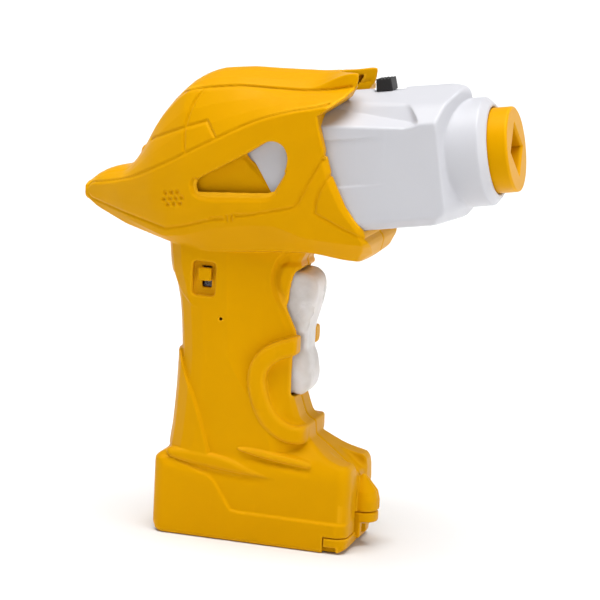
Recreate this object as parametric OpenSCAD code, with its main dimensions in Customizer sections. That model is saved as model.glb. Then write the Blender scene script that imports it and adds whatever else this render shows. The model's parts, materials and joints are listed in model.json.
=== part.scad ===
// Toy power drill with a take-apart body. Millimetres.
// The origin is the centre of the flat foot, +X points to the nose,
// +Y to the left side and +Z up. The nose and everything in it lie along
// their own axis, which climbs by nose_pitch from the chuck's front face.

/* [Housing] */
// Wall thickness of the yellow housing
wall = 2.0; // [1.8:0.1:2.2]
// Half the width of the handle at its widest
handle_half_w = 15; // [14.6:0.1:15.4]
// Half the width of the foot above its raised side panel
foot_half_w = 16.2; // [16:0.1:16.4]
// How far the foot's raised side panel stands out
panel_rise = 0.8; // [0.6:0.1:1]

/* [Nose] */
// Upward pitch of the nose in degrees
nose_pitch = 9.5; // [9.3:0.1:9.7]
// Place of the chuck's front face along X
face_x = 81; // [80.8:0.1:81.2]
// Height of the chuck's front face
face_z = 139.6; // [139.4:0.1:139.8]
// Half the width of the white nose
nose_half_w = 20; // [19.8:0.1:20.2]
// Wall thickness of the white nose
nose_wall = 1.8; // [1.6:0.1:2]

/* [Chuck] */
// Radius of the chuck
chuck_r = 14; // [13.8:0.1:14]
// Side of the chuck's square socket
socket_side = 11.8; // [11.4:0.1:12]
// Depth of the chuck's square socket
socket_depth = 9; // [8:0.5:9]
// Radial clearance of turning parts
run_gap = 0.06; // [0.05:0.01:0.08]

/* [Gears] */
// Tooth module
tooth_module = 0.5; // [0.5:0.01:0.5]
// Teeth on each large gear
wheel_teeth = 28; // [28:1:28]
// Teeth on each pinion
pinion_teeth = 10; // [10:1:10]

/* [Travel] */
// Travel of the drive mode slider
mode_travel = 3.5; // [3:0.1:3.5]
// Travel of the power slider
power_travel = 3.2; // [3:0.1:3.2]

/* [Power cells] */
// Diameter of a size AA cell
cell_d = 14.2; // [13.8:0.1:14.2]
// Length of a size AA cell without its nub
cell_len = 49.2; // [48.8:0.1:49.2]

/* [Hidden] */

yellow = [0.93, 0.65, 0.02];
white = [0.9, 0.9, 0.92];
black = [0.08, 0.08, 0.09];
steel = [0.66, 0.67, 0.7];
nylon = [0.92, 0.9, 0.84];
green = [0.1, 0.42, 0.24];
red = [0.75, 0.1, 0.08];
eps = 0.01;

// Feature lines of the head, from tail to front: x, half width, z
top_line = [[-67.4, 0, 114.2], [-66.3, 0, 116.4], [-63.5, 0, 119.2], [-59, 0, 121.6],
  [-55, 0, 122.8], [-51.3, 0, 123.4], [-48.5, 0, 126], [-44.2, 0, 133], [-40.6, 0, 141.2],
  [-37.2, 0, 146], [-33.6, 0, 150], [-28.5, 0, 154.6], [-24, 0, 157.3], [-20, 0, 158.7],
  [-9.4, 0, 159.9], [1, 0, 160], [15, 0, 160.4], [22, 0, 161.2], [40, 0, 161.8]];
crest_line = [[-67.4, 1.5, 114], [-63.5, 3.5, 118.4], [-59, 5, 120.6], [-51.3, 7, 122.6],
  [-48.5, 8, 124.8], [-44.2, 9, 130.6], [-40.6, 10, 137.6], [-36, 11, 143.5],
  [-28.9, 12, 151], [-20, 12.3, 153], [-11.8, 12.5, 154], [12, 12.5, 154.2],
  [26.1, 12.5, 156.3], [40, 12.5, 157.5]];
brow_line = [[-67.4, 3, 113.4], [-64.4, 5.5, 116.4], [-51.8, 12, 119.5], [-38.5, 18, 124.8],
  [-26.9, 20.5, 130.8], [-14.3, 22, 137.6], [1, 23, 145.5], [8, 23.4, 148],
  [19.4, 23.7, 150.3], [40, 23.7, 152.5]];
flank_line = [[-67.4, 3, 112.8], [-60, 7.2, 113.5], [-51.8, 12.2, 114], [-38.5, 18, 115.5],
  [-26.9, 20.5, 118.5], [-14.3, 22, 122], [1, 23, 127], [19.4, 23.7, 131], [40, 23, 131]];
groove_line = [[-67.4, 2.8, 112.2], [-63.8, 5, 111.1], [-50, 12, 108.3], [-32.6, 18.5, 105.3],
  [-17.8, 20.5, 108.3], [-3.8, 22.2, 112.5], [12.3, 23, 117.2], [20, 23, 117.5],
  [40, 22.8, 117]];
ledge_line = [[-67.4, 2.4, 111.8], [-63, 4.5, 109.6], [-50, 10.5, 106], [-32.6, 17, 103],
  [-17.8, 18.8, 105], [-3.8, 20.6, 106.5], [4.3, 21.3, 108], [12, 22, 107.5],
  [25, 21.5, 107], [36, 20.6, 106.5], [40, 19.5, 106]];
lower_line = [[-67.4, 1.8, 111.6], [-63, 4, 108.3], [-50, 9.5, 104], [-32.5, 14, 99.9],
  [-18.2, 15.5, 98.6], [6.1, 17, 101], [15, 16.5, 101.5], [20.3, 15, 101],
  [28, 14, 99.8], [34.6, 12.5, 99.6], [40, 11.5, 100.5]];
keel_line = [[-67.4, 0, 111.4], [-63, 0, 107.6], [-50, 0, 103], [-32.5, 0, 98.6],
  [-18, 0, 97], [6, 0, 98.8], [15, 0, 99.3], [28, 0, 98.8], [34.6, 0, 98.4], [40, 0, 99.6]];
head_x = [-67.4, -66.3, -63.5, -59, -55, -51.3, -48.5, -46, -44.2, -42.4, -40.6, -37.2, -33.6,
  -28.5, -24, -20, -14.3, -9.4, -3.8, 1, 8, 15, 20, 26, 33, 40];

// Height, rear edge and front edge of the handle, from the top down
handle_rows = [[103, -33, 15], [98.8, -32.7, 13.6], [93, -32.1, 10.4], [89.3, -31.5, 9.5],
  [84.5, -30, 9.5], [73.6, -28.3, 9.5], [62.5, -27.6, 9.5], [59.3, -28.6, 9.5],
  [52, -28.8, 9.5], [49.7, -28.9, 11.9], [42.6, -29, 14.5], [38.7, -29.1, 17.9],
  [33.8, -29.5, 18.6], [24, -30.8, 18.6]];

// Side outline of the white nose's rim: everything in front of it is open
rim = [[30, 168], [29.6, 160], [28.6, 157.5], [26.3, 152.7], [19.7, 147.6], [22.9, 135.5],
  [25, 128.7], [30.1, 118.6], [35.8, 111.4], [38.4, 105], [38, 101.5], [36, 96],
  [60, 96], [60, 168]];
window = [[-20.9, 123.9], [-19.8, 119.5], [-16.4, 119], [6, 121.6], [9.9, 132.6],
  [9.3, 135.8], [7.2, 137.5], [3.9, 137.8], [-1, 136.1], [-4.5, 133.4]];
foot_side = [[-32, 0], [-34.6, 1.6], [-35.1, 4.2], [-34.9, 25.9], [-31, 29], [-24, 30.2],
  [8, 31], [16, 33], [22, 34.6], [33.7, 25.6], [35.2, 22], [35.2, 4.4], [34.4, 1.4], [32, 0]];
panel_side = [[-32, 0], [-34.6, 1.6], [-35.1, 4.2], [-34.9, 25.9], [-28.3, 26.7],
  [-14.9, 21.7], [-12.5, 20.4], [-6.2, 10.9], [-3.8, 10.6], [35.2, 10.6], [35.2, 4.4],
  [34.4, 1.4], [32, 0]];

// Housing screw places: x, z, depth of the left counterbore's floor, reach of the boss
screw_spots = [[-47, 115, 5, 12.6], [-30, 139, 8, 15], [-8, 97, 7, 13.9], [-19.5, 58, 7, 13.9],
  [3, 43.5, 7, 11], [20, 23.2, 8, 14.2], [-29.5, 23.2, 8, 14]];
nose_screw_spots = [[-85, -15, 16.2], [-85, 15.4, 11.5]];

gear_gap = 0.12;
wheel_r = tooth_module * wheel_teeth / 2;
pinion_r = tooth_module * pinion_teeth / 2;
shaft_step = wheel_r + pinion_r + gear_gap;
pin_r = 1;
collar_r = 17.8;
ring_r = 14.8;
chuck_back = -14;
foot_clear = 0.3;
cell_y = 7.3;
cell_z = 10.2;
cell_front = 23;
door_hinge = [-31.2, 2.4];
rocker_pivot = [3.5, 68.5];
rocker_pin_r = 1.25;
board_x = -6;
knob_u = -41.4;
power_knob_x = -19.3;
power_knob_z = 90.4;

function line_at(line, x) = [lookup(x, [for (p = line) [p[0], p[1]]]),
  lookup(x, [for (p = line) [p[0], p[2]]])];
function between(a, b, bulge) = (a + b) / 2 + bulge * [b[1] - a[1], a[0] - b[0]];
function head_side(x) = let (lower = line_at(lower_line, x), brow = line_at(brow_line, x),
  crest = line_at(crest_line, x), top = line_at(top_line, x))
  [line_at(keel_line, x), [lower[0] * 0.6, (lower[1] + line_at(keel_line, x)[1]) / 2 - 0.2],
   lower, line_at(ledge_line, x), line_at(groove_line, x), line_at(flank_line, x),
   brow, between(brow, crest, 0.05), crest, between(crest, top, 0.05), top];
// Right half section of the head, shrunk by inset and opened past the seam
function head_ring(x, inset) = let (side = head_side(x), low = side[0][1], high = side[10][1],
  mid = (low + high) / 2, squeeze = max(0.1, 1 - 2 * inset / (high - low)))
  concat(inset > 0 ? [[x, 1, mid + (low - mid) * squeeze]] : [],
    [for (p = side) [x, -max(0, p[0] - inset * min(1, p[0] / 8)), mid + (p[1] - mid) * squeeze]],
    inset > 0 ? [[x, 1, mid + (high - mid) * squeeze]] : []);
function handle_ring(row, inset) = let (z = row[0], rear = row[1] + inset,
  front = row[2] - inset, w = handle_half_w - inset)
  concat(inset > 0 ? [[rear - 2, 1, z]] : [],
    [[rear - 2, 0, z], [rear - 1.6, -5, z], [rear - 0.2, -9 + inset / 2, z],
     [rear + 3.4, -w + 2, z], [rear + 9, -w, z], [-11, -w, z], [-2, -w + 1.3, z],
     [4, -w + 3.2, z], [front - 1.4, -10.6 + inset, z], [front, -8.6 + inset, z], [front, 0, z]],
    inset > 0 ? [[front, 1, z]] : []);

// Closed solid through rings of equal point count
module loft(rings) {
  n = len(rings[0]);
  last = (len(rings) - 1) * n;
  sides = [for (i = [0:len(rings) - 2], j = [0:n - 1], half = [0, 1])
    let (a = i * n + j, b = i * n + (j + 1) % n) half == 0 ? [a, b, b + n] : [a, b + n, a + n]];
  polyhedron(points = [for (ring = rings, p = ring) p],
    faces = concat([[for (j = [n - 1:-1:0]) j]], sides, [[for (j = [0:n - 1]) last + j]]),
    convexity = 6);
}

// Tube swept along a route of points
module tube(route, r) {
  sides = 8;
  rings = [for (i = [0:len(route) - 1])
    let (a = route[max(0, i - 1)], b = route[min(len(route) - 1, i + 1)], d = (b - a) / norm(b - a),
      side = cross(d, abs(d[2]) < 0.9 ? [0, 0, 1] : [0, 1, 0]), u = side / norm(side),
      v = cross(u, d))
    [for (k = [0:sides - 1]) route[i] + r * (u * cos(45 * k) + v * sin(45 * k))]];
  loft(rings);
}

// Smooth points between hand-placed route points
function smooth(p, steps) = concat([for (i = [0:len(p) - 2], s = [0:steps - 1])
  let (t = s / steps, a = p[max(0, i - 1)], b = p[i], c = p[i + 1], d = p[min(len(p) - 1, i + 2)])
  0.5 * (2 * b + t * (c - a) + t * t * (2 * a - 5 * b + 4 * c - d)
    + t * t * t * (3 * b - a - 3 * c + d))], [p[len(p) - 1]]);

module on_nose() translate([face_x, 0, face_z]) rotate([0, -nose_pitch, 0]) children();
module nose_rod(u0, u1, r, v = 0, y = 0)
  translate([u0, y, v]) rotate([0, 90, 0]) cylinder(h = u1 - u0, r = r, $fn = 64);
module side_prism(points, y0, y1)
  translate([0, y1, 0]) rotate([90, 0, 0]) linear_extrude(y1 - y0) polygon(points);
module rod_y(x, z, y0, y1, r)
  translate([x, y1, z]) rotate([90, 0, 0]) cylinder(h = y1 - y0, r = r, $fn = 48);
module box(low, high) translate(low) cube(high - low);

// Rounded plan of the foot, standing on z = 0
module foot_plan(half_w, height) linear_extrude(height) {
  for (x = [-30.4, 30.2], s = [-1, 1]) translate([x, s * (half_w - 5)]) circle(r = 5, $fn = 48);
  translate([-30.4, -half_w]) square([60.6, 2 * half_w]);
  translate([-35.4, 5 - half_w]) square([70.6, 2 * half_w - 10]);
}

module foot_half() {
  intersection() {
    union() {
      intersection() {
        side_prism(foot_side, -20, 0);
        foot_plan(foot_half_w, 40);
        rotate([90, 0, 90]) translate([0, 0, -40]) linear_extrude(80)
          polygon([[-20, 0], [-20, 23.4], [-foot_half_w, 23.4], [-13.4, 31], [-12, 36], [0, 36], [0, 0]]);
      }
      intersection() {
        side_prism(panel_side, -20, 0);
        foot_plan(foot_half_w + panel_rise, 30);
      }
      rod_boss();
    }
    box([-40, -20, 0], [45, 0, 60]);
  }
}

// Boss on the foot's front that the door screw bites into
module rod_boss() {
  translate([36.2, 0, 12.6]) cylinder(h = 6.6, r = 5, $fn = 48);
  translate([36.2, 0, 19.2]) cylinder(h = 6, r1 = 5, r2 = 2.2, $fn = 48);
}

module guard_half() side_prism([[14, 73.2], [11.2, 71], [5.9, 69], [1.2, 65.1], [-1.6, 62],
  [-2.7, 57.5], [-1.9, 52.3], [0, 47.4], [3.5, 41.9], [9, 37.6], [14.9, 36.3], [18.1, 36.8],
  [17.6, 40.1], [14.5, 42.6], [10.4, 43.5], [6.1, 46.9], [4.7, 51.3], [4, 57.5],
  [5.6, 62.2], [9.5, 64.4], [13.4, 66.6]], -14.4, 0);

// One half of the housing's outer form, on the right
module housing_form() {
  difference() {
    loft([for (x = head_x) head_ring(x, 0)]);
    side_prism(rim, -30, 5);
    translate([0, 0, 145]) linear_extrude(30)
      polygon([[20.6, 1], [20.6, -2], [21.6, -4.4], [24, -6], [34, -7], [34, 1]]);
  }
  loft([for (row = handle_rows) handle_ring(row, 0)]);
  guard_half();
  foot_half();
}

// Everything hollow inside one half, open past the seam
module housing_hollow() {
  loft([for (x = [for (h = head_x) if (h > -64) h]) head_ring(x, wall)]);
  loft([for (row = handle_rows) handle_ring([row[0] - (row[0] < 30 ? 1 : -1), row[1], row[2]], wall)]);
  box([-32.9, -14.9, -1], [32.6, 1, 17.8]);
  side_prism([[-32, 19.6], [31.4, 19.6], [31.4, 24.6], [22, 31.4], [16, 30.4], [4, 28.6],
    [-29, 27.4], [-32, 25]], -11.6, 1);
}

module housing_half() {
  difference() {
    housing_form();
    housing_hollow();
    // Opening that the rocker works in
    box([6, -8.4, 49.3], [20, 1, 95.7]);
  }
  for (spot = screw_spots) rod_y(spot[0], spot[1], -spot[3], 0, 2.9);
  // Rails under and beside the nose
  on_nose() {
    box([-78, -14, -25.2], [-52, -12, -21.4]);
    box([-67, -21.9, -6], [-61, -nose_half_w - 0.02, -3]);
  }
  // Seats of the rocker pin and the board
  rod_y(rocker_pivot[0], rocker_pivot[1], -11.4, -8.8, 2.6);
  for (z = [50, 90]) box([board_x - 2.4, -13.6, z - 1.5], [board_x - 0.02, -9.6, z + 1.5]);
}

// Space for the door with its front lip, side tabs and screw ear, and the bores
// that both halves share
module shared_cuts() {
  box([-34, -15.4, -1], [31.2, 15.4, 2.3]);
  box([31, -20, -1], [45, 20, 5.7]);
  box([26.8, -20, 2.1], [45, 20, 5.7]);
  translate([36.2, 0, 5]) cylinder(h = 7.6, r = 5.8, $fn = 48);
  box([34, -5.8, 5], [36.2, 5.8, 12.6]);
  rod_y(door_hinge[0], door_hinge[1], -15.4, 15.4, 1.8);
  rod_y(rocker_pivot[0], rocker_pivot[1], -11.1, 11.1, rocker_pin_r);
  translate([36.2, 0, 0]) cylinder(h = 21, r = 1.12, $fn = 32);
  for (s = [-1, 1]) translate([28.2, s * 10.2, 17]) cylinder(h = 3, r = 1.4, $fn = 32);
}

module housing_right() color(yellow) difference() {
  housing_half();
  for (spot = screw_spots) rod_y(spot[0], spot[1], -(spot[2] + 2.6), 1, 1.12);
  side_prism([[-3.6, 134.2], [6.6, 122.6], [9.9, 132.6], [9.3, 135.8], [7.2, 137.5], [3.9, 137.8],
    [-1, 136.1]], -30, -12);
  side_prism(window, -30, -20.6);
  // Power slider well and slot
  box([-23.4, -16, 83], [-16, -12.6, 94.2]);
  box([power_knob_x - 1.5, -16, power_knob_z - 1.2 - power_travel],
    [power_knob_x + 1.5, -8, power_knob_z + 3.6]);
  shared_cuts();
}

module housing_left() color(yellow) difference() {
  mirror([0, 1, 0]) housing_half();
  for (spot = screw_spots) {
    rod_y(spot[0], spot[1], -1, spot[2] + 0.1, 1.4);
    rod_y(spot[0], spot[1], spot[2], 30, 2.4);
  }
  side_prism([[-3.6, 134.2], [6.6, 122.6], [9.9, 132.6], [9.3, 135.8], [7.2, 137.5], [3.9, 137.8],
    [-1, 136.1]], 12, 30);
  side_prism(window, 20.6, 30);
  shared_cuts();
}

// Right half section of the nose at one place along its axis
function nose_ring(u, inset) = let (taper = lookup(u, [[-96, 4.5], [-80, 1.6], [-68, 0]]),
  w = nose_half_w - inset - taper, top = 24 - 0.02 * (u + 50) - inset)
  concat(inset > 0 ? [[u, 1, -21.3 + inset]] : [],
    [[u, 0, -21.3 + inset], [u, -15.6 + taper + inset * 0.4, -21 + inset],
     [u, -w, -16.6 + inset * 0.4], [u, -w, 11.6 - inset * 0.4],
     [u, -13.4 + taper / 2 + inset * 0.6, 18.6 - inset], [u, -5, top - 0.2], [u, 0, top]],
    inset > 0 ? [[u, 1, top]] : []);

module nose_half() {
  difference() {
    union() {
      intersection() {
        loft([for (u = [-96, -80, -68, -40, -24, -13]) nose_ring(u, 0)]);
        translate([0, 0, -40]) linear_extrude(80)
          polygon([[-100, 0], [-13.2, 0], [-14, -5], [-21, -20.2], [-21, -30], [-100, -30]]);
        side_prism([[-100, -30], [-27, -30], [-17, -19.5], [-17, -10], [-12, 0], [-12, 17],
          [-17.5, 22.6], [-24, 30], [-100, 30]], -30, 0);
      }
      intersection() {
        union() {
          nose_rod(-24, -9, collar_r);
          translate([-9, 0, 0]) rotate([0, 90, 0])
            cylinder(h = 2.5, r1 = collar_r, r2 = ring_r + 0.9, $fn = 64);
        }
        box([-30, -20, -20], [0, 0, 20]);
      }
    }
    difference() {
      loft([for (u = [-97, -80, -68, -40, -23.6]) nose_ring(u, nose_wall)]);
      // Solid wall behind the collar that seats the gearbox
      box([-23.4, -30, -30], [-13, 2, 30]);
    }
    nose_rod(-30, -16.2, 13.4);
    nose_rod(-16.4, -12.6, 16.2);
    nose_rod(-13, 0, chuck_r + 0.3);
    // Slot for the mode slider
    box([knob_u - 4.6, -1.7, 18], [knob_u + 3.1 + mode_travel, 1.7, 30]);
  }
  for (spot = nose_screw_spots) rod_y(spot[0], spot[1], -spot[2], 0, 2.6);
  // Cradle ribs of the motor and the gearbox
  difference() {
    union() for (u = [-74, -58]) box([u, -18.4, -19.6], [u + 1.6, 0, -7.62]);
    box([-60, -12.6, -18], [-56, 0, 0]);
  }
}

module nose_right() color(white) on_nose() difference() {
  nose_half();
  for (spot = nose_screw_spots) rod_y(spot[0], spot[1], -9, 1, 1.02);
}

module nose_left() color(white) on_nose() difference() {
  mirror([0, 1, 0]) nose_half();
  for (spot = nose_screw_spots) {
    rod_y(spot[0], spot[1], -1, 8.1, 1.25);
    rod_y(spot[0], spot[1], 8, 30, 2.1);
  }
}

// Cross-head screw along Y with its head at y_head and its tip at y_tip
module side_screw(x, z, y_head, y_tip, head_r, shank_r) difference() {
  union() {
    rod_y(x, z, y_head, y_head + 1.6, head_r);
    rod_y(x, z, y_tip, y_head + 0.1, shank_r);
  }
  for (a = [0, 90]) translate([x, y_head + 1.6, z]) rotate([0, a, 0])
    cube([head_r * 1.1, 1.8, 0.7], center = true);
}

module housing_screws() color(steel) for (spot = screw_spots)
  side_screw(spot[0], spot[1], spot[2], -spot[2] - 2, 2.2, 1.1);
module nose_screws() color(steel) on_nose() for (spot = nose_screw_spots)
  side_screw(spot[0], spot[1], 8, -8, 1.9, 1);

module chuck() color(yellow) on_nose() difference() {
  union() {
    nose_rod(chuck_back, -0.8, chuck_r);
    translate([-0.8, 0, 0]) rotate([0, 90, 0])
      cylinder(h = 0.8, r1 = chuck_r, r2 = chuck_r - 0.8, $fn = 96);
    nose_rod(chuck_back - 1.6, chuck_back, 15.7);
  }
  translate([-socket_depth, 0, 0]) rotate([45, 0, 0])
    translate([0, -socket_side / 2, -socket_side / 2]) cube([20, socket_side, socket_side]);
  nose_rod(chuck_back - 3, -socket_depth - 2, 3);
}

// One stepped shaft: hexagonal nose end, journal and thin tail
module spindle() color(steel) on_nose() {
  nose_rod(-34, -socket_depth - 2 - eps, 3 - eps);
  nose_rod(-45.6, -33.9, pin_r);
}

function tooth_angle(teeth) = 360 / teeth;
function tooth_outline(teeth) = let (r = tooth_module * teeth / 2, a = tooth_angle(teeth))
  [for (k = [0:teeth - 1], c = [[-0.33, -1.2], [-0.19, 0], [-0.09, 0.9], [0.09, 0.9], [0.19, 0],
  [0.33, -1.2]])
    (r + c[1] * tooth_module) * [cos(a * (k + c[0])), sin(a * (k + c[0]))]];

// Spur gear blank along the nose axis. turn sets where its first tooth points
module gear(u0, u1, teeth, v, turn) translate([u0, 0, v]) rotate([0, 90, 0])
  rotate([0, 0, turn]) linear_extrude(u1 - u0) polygon(tooth_outline(teeth));

// Large gear and pinion in one piece, free on a pin
module compound(u0, u1, u2, v, wheel_turn, pinion_turn) difference() {
  union() {
    gear(u0, u1, wheel_teeth, v, wheel_turn);
    gear(u1 - 0.5, u2, pinion_teeth, v, pinion_turn);
  }
  nose_rod(u0 - 1, u2 + 1, pin_r + run_gap, v);
}

// After rotate([0, 90, 0]) the plan's +X points to -v and so a tooth at 0 faces down
half_wheel = 180 + 180 / wheel_teeth;
half_pinion = 180 + 180 / pinion_teeth;
module output_gear() color(nylon) on_nose() difference() {
  union() {
    gear(-37, -34.2, wheel_teeth, 0, 0);
    nose_rod(-34.3, -31.6, 4.4);
  }
  nose_rod(-34.01, -30, 3 + eps);
  nose_rod(-38, -30, pin_r + 2 * eps);
}
module idler_gear() color(nylon) on_nose()
  compound(-40.4, -37.4, -34.2, -shaft_step, half_wheel, half_pinion);
module second_gear() color(nylon) on_nose() compound(-43.6, -40.8, -37.3, 0, 0, 0);
module first_gear() color(nylon) on_nose()
  compound(-47, -44.1, -40.9, -shaft_step, half_wheel, half_pinion);
module motor_pinion() color([0.85, 0.7, 0.35]) on_nose() difference() {
  gear(-50, -46.2, pinion_teeth, 0, 0);
  nose_rod(-51, -45, pin_r);
}
module motor_shaft() color(steel) on_nose() nose_rod(-79.5, -46.2, pin_r - eps);
module gear_pin() color(steel) on_nose() nose_rod(-51.4, -30.2, pin_r, -shaft_step);

module spindle_bushing() color([0.8, 0.62, 0.3]) on_nose() difference() {
  nose_rod(-31, -22.6, 5);
  nose_rod(-32, -20, 3 + run_gap);
}

module gearbox_front() color(nylon) on_nose() difference() {
  union() {
    box([-31, -13, -19.2], [-29, 13, 13]);
    nose_rod(-29.1, -24.2, 7);
    for (s = [-1, 1], v = [-16.6, 10.4]) nose_rod(-50.2, -29, 2.2, v, s * 10.4);
    for (s = [-1, 1]) box([-50.2, s * 12.2 - 0.8, -12], [-29, s * 12.2 + 0.8, 8]);
  }
  nose_rod(-32, -20, 5 + eps);
  nose_rod(-30.2, -28, pin_r, -shaft_step);
  nose_rod(-32, -30.2, pin_r, -shaft_step);
  for (s = [-1, 1], v = [-16.6, 10.4]) nose_rod(-51, -40, 0.8, v, s * 10.4);
}

module gearbox_rear() color(nylon) on_nose() difference() {
  box([-52, -13, -19.2], [-50.2, 13, 13]);
  nose_rod(-54, -48, 3.4);
  nose_rod(-51.4, -48, pin_r, -shaft_step);
  for (s = [-1, 1], v = [-16.6, 10.4]) nose_rod(-54, -48, 1, v, s * 10.4);
}

module gearbox_screws() color(steel) on_nose() for (s = [-1, 1], v = [-16.6, 10.4]) {
  nose_rod(-53.2, -52, 1.8, v, s * 10.4);
  nose_rod(-52.1, -42, 0.78, v, s * 10.4);
}

module motor_can() color(steel) on_nose() difference() {
  intersection() {
    nose_rod(-72, -52.05, 10.05);
    box([-80, -11, -7.55], [-50, 11, 7.55]);
  }
  nose_rod(-80, -50, pin_r + run_gap);
}

module motor_end_cap() color(black) on_nose() difference() {
  intersection() {
    union() {
      nose_rod(-76.4, -72.05, 9.9);
      nose_rod(-78.4, -76.3, 3);
    }
    box([-80, -11, -7.4], [-50, 11, 7.4]);
  }
  nose_rod(-80, -50, pin_r + run_gap);
}

module motor_terminals() color([0.85, 0.75, 0.45]) on_nose() for (s = [-1, 1])
  box([-79.4, s * 7 - 1.2, -3], [-76.4 - eps, s * 7 + 1.2, -2.6]);

module mode_switch_body() color(steel) on_nose() difference() {
  box([-48, -3.6, 12.6], [-32.4, 3.6, 18.2]);
  box([knob_u - 4.6, -1.7, 15.4], [knob_u + 3.1 + mode_travel, 1.7, 19]);
}

module mode_knob() color(black) on_nose() {
  difference() {
    box([knob_u - 2.8, -3.5, 24.5], [knob_u + 2.8, 3.5, 27.2]);
    for (k = [-2:2]) translate([knob_u + k * 1.2, 0, 27.4]) rotate([0, 45, 0])
      cube([0.7, 8, 0.7], center = true);
  }
  box([knob_u - 1.5, -1.3, 15.8], [knob_u + 1.5, 1.3, 24.6]);
}

module power_switch_body() color(steel) difference() {
  box([-24, -9.4, 81.6], [-14.6, -3.6, 96]);
  box([power_knob_x - 1.7, -10, power_knob_z - 1.8 - power_travel],
    [power_knob_x + 1.7, -6, power_knob_z + 4.2]);
}

module power_knob() color(yellow) {
  box([power_knob_x - 2.3, -15.2, power_knob_z - 2.2], [power_knob_x + 2.3, -12.8, power_knob_z + 2.2]);
  box([power_knob_x - 1.2, -12.9, power_knob_z - 1.2], [power_knob_x + 1.2, -6.6, power_knob_z + 1.2]);
}

// One lobe of the rocker: side outline pulled across its width with rounded edges
module lobe(points, w_root, w_tip) hull() {
  side_prism([for (p = points) [min(p[0], 12), p[1]]], -w_root, w_root);
  side_prism([for (p = points) [p[0] - 1.2, p[1]]], -w_tip - 1, w_tip + 1);
  side_prism(points, -w_tip, w_tip);
}

module rocker() color(white) difference() {
  union() {
    lobe([[7.6, 73.6], [7.6, 94.8], [11, 95], [14.6, 92.4], [16.9, 88.6], [16.8, 84.4], [15, 75.2],
      [13, 71.8]], 7.9, 5.6);
    lobe([[7.6, 51], [7.6, 64.6], [13.4, 66.6], [14.9, 64.6], [16.5, 55.7], [15.6, 52.4],
      [13.4, 50.2], [10, 50]], 7.9, 5.6);
    box([1.6, -7.9, 50.6], [7.8, 7.9, 94.2]);
    box([7, -6.4, 64], [12.6, 6.4, 74.4]);
    // Pushers that work the keypad
    for (z = [57.5, 86]) box([-0.6, -2, z - 2], [9.8, 2, z + 2]);
    rod_y(rocker_pivot[0], rocker_pivot[1], -8.3, 8.3, 3);
  }
  rod_y(rocker_pivot[0], rocker_pivot[1], -12, 12, rocker_pin_r + run_gap);
  // Hollow behind the lobes
  for (span = [[52.4, 55.5], [59.5, 63], [74, 84], [88, 92.4]])
    box([0, -6.2, span[0]], [9.6, 6.2, span[1]]);
}

module rocker_pin() color(steel)
  rod_y(rocker_pivot[0], rocker_pivot[1], -11, 11, rocker_pin_r - eps);

module keypad() color([0.35, 0.36, 0.38]) {
  box([board_x + 1.65, -6, 52], [board_x + 2.6, 6, 92]);
  for (z = [57.5, 86]) translate([board_x + 2.5, 0, z]) rotate([0, 90, 0])
    cylinder(h = 2.6, r1 = 3.6, r2 = 2.4, $fn = 32);
}

module circuit_board() color(green) difference() {
  box([board_x, -11.6, 48], [board_x + 1.6, 11.6, 94]);
  for (s = [-1, 1], z = [50, 90]) translate([board_x - 1, s * 10, z]) rotate([0, 90, 0])
    cylinder(h = 4, r = 1.1, $fn = 32);
}

module board_screws() color(steel) for (s = [-1, 1], z = [50, 90]) translate([board_x, s * 10, z])
  rotate([0, 90, 0]) {
    translate([0, 0, 1.6]) cylinder(h = 1.1, r = 1.5, $fn = 32);
    translate([0, 0, eps]) cylinder(h = 1.7, r = 1.05, $fn = 32);
  }

module board_parts() color(black) {
  box([board_x - 2.2, -3, 64], [board_x - eps, 3, 74]);
  box([board_x - 1.8, 4.5, 78], [board_x - eps, 7.5, 81]);
  translate([board_x - 5, 0, 83]) rotate([0, 90, 0]) cylinder(h = 5 - eps, r = 2.5, $fn = 32);
}

module cell(y) translate([cell_front - cell_len, y, cell_z]) rotate([0, 90, 0]) {
  cylinder(h = cell_len, r = cell_d / 2 - 0.3, $fn = 64);
}
module cell_right() color(steel) {
  cell(-cell_y);
  translate([cell_front - eps, -cell_y, cell_z]) rotate([0, 90, 0]) cylinder(h = 1.2, r = 2.6, $fn = 48);
}
module cell_left() color(steel) {
  cell(cell_y);
  translate([cell_front - cell_len - 1.2 + eps, cell_y, cell_z]) rotate([0, 90, 0])
    cylinder(h = 1.2, r = 2.6, $fn = 48);
}
module cell_sleeves() color(black) for (s = [-1, 1])
  translate([cell_front - cell_len + 0.8, s * cell_y, cell_z]) rotate([0, 90, 0]) difference() {
    cylinder(h = cell_len - 1.6, r = cell_d / 2, $fn = 64);
    translate([0, 0, -1]) cylinder(h = cell_len, r = cell_d / 2 - 0.3 + eps, $fn = 64);
  }

module contact_rear() color(steel) {
  box([-32.4, -13, 4.6], [-32, 13, 15.8]);
  translate([-32.1, cell_y, cell_z]) rotate([0, 90, 0]) cylinder(h = 4.2, r = 2.2, $fn = 32);
}

// Conical spring wound from a few turns of wire
module contact_spring(x0, dir, y) translate([x0, y, cell_z]) rotate([0, dir * 90, 0])
  for (k = [0:3]) translate([0, 0, k * 1.05]) rotate_extrude($fn = 48)
    translate([4.4 - 0.35 * k, 0]) square([0.8, 1.25], center = true);

module contact_spring_right() color(steel) contact_spring(-31.3, 1, -cell_y);
module contact_spring_left() color(steel) contact_spring(27.9, -1, cell_y);

module contacts_front() color(steel) for (s = [-1, 1]) {
  box([28.6, s * cell_y - 5, 4.6], [29, s * cell_y + 5, 15.8]);
  if (s < 0) translate([24.3, s * cell_y, cell_z]) rotate([0, 90, 0]) cylinder(h = 4.4, r = 2.2, $fn = 32);
}

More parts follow.
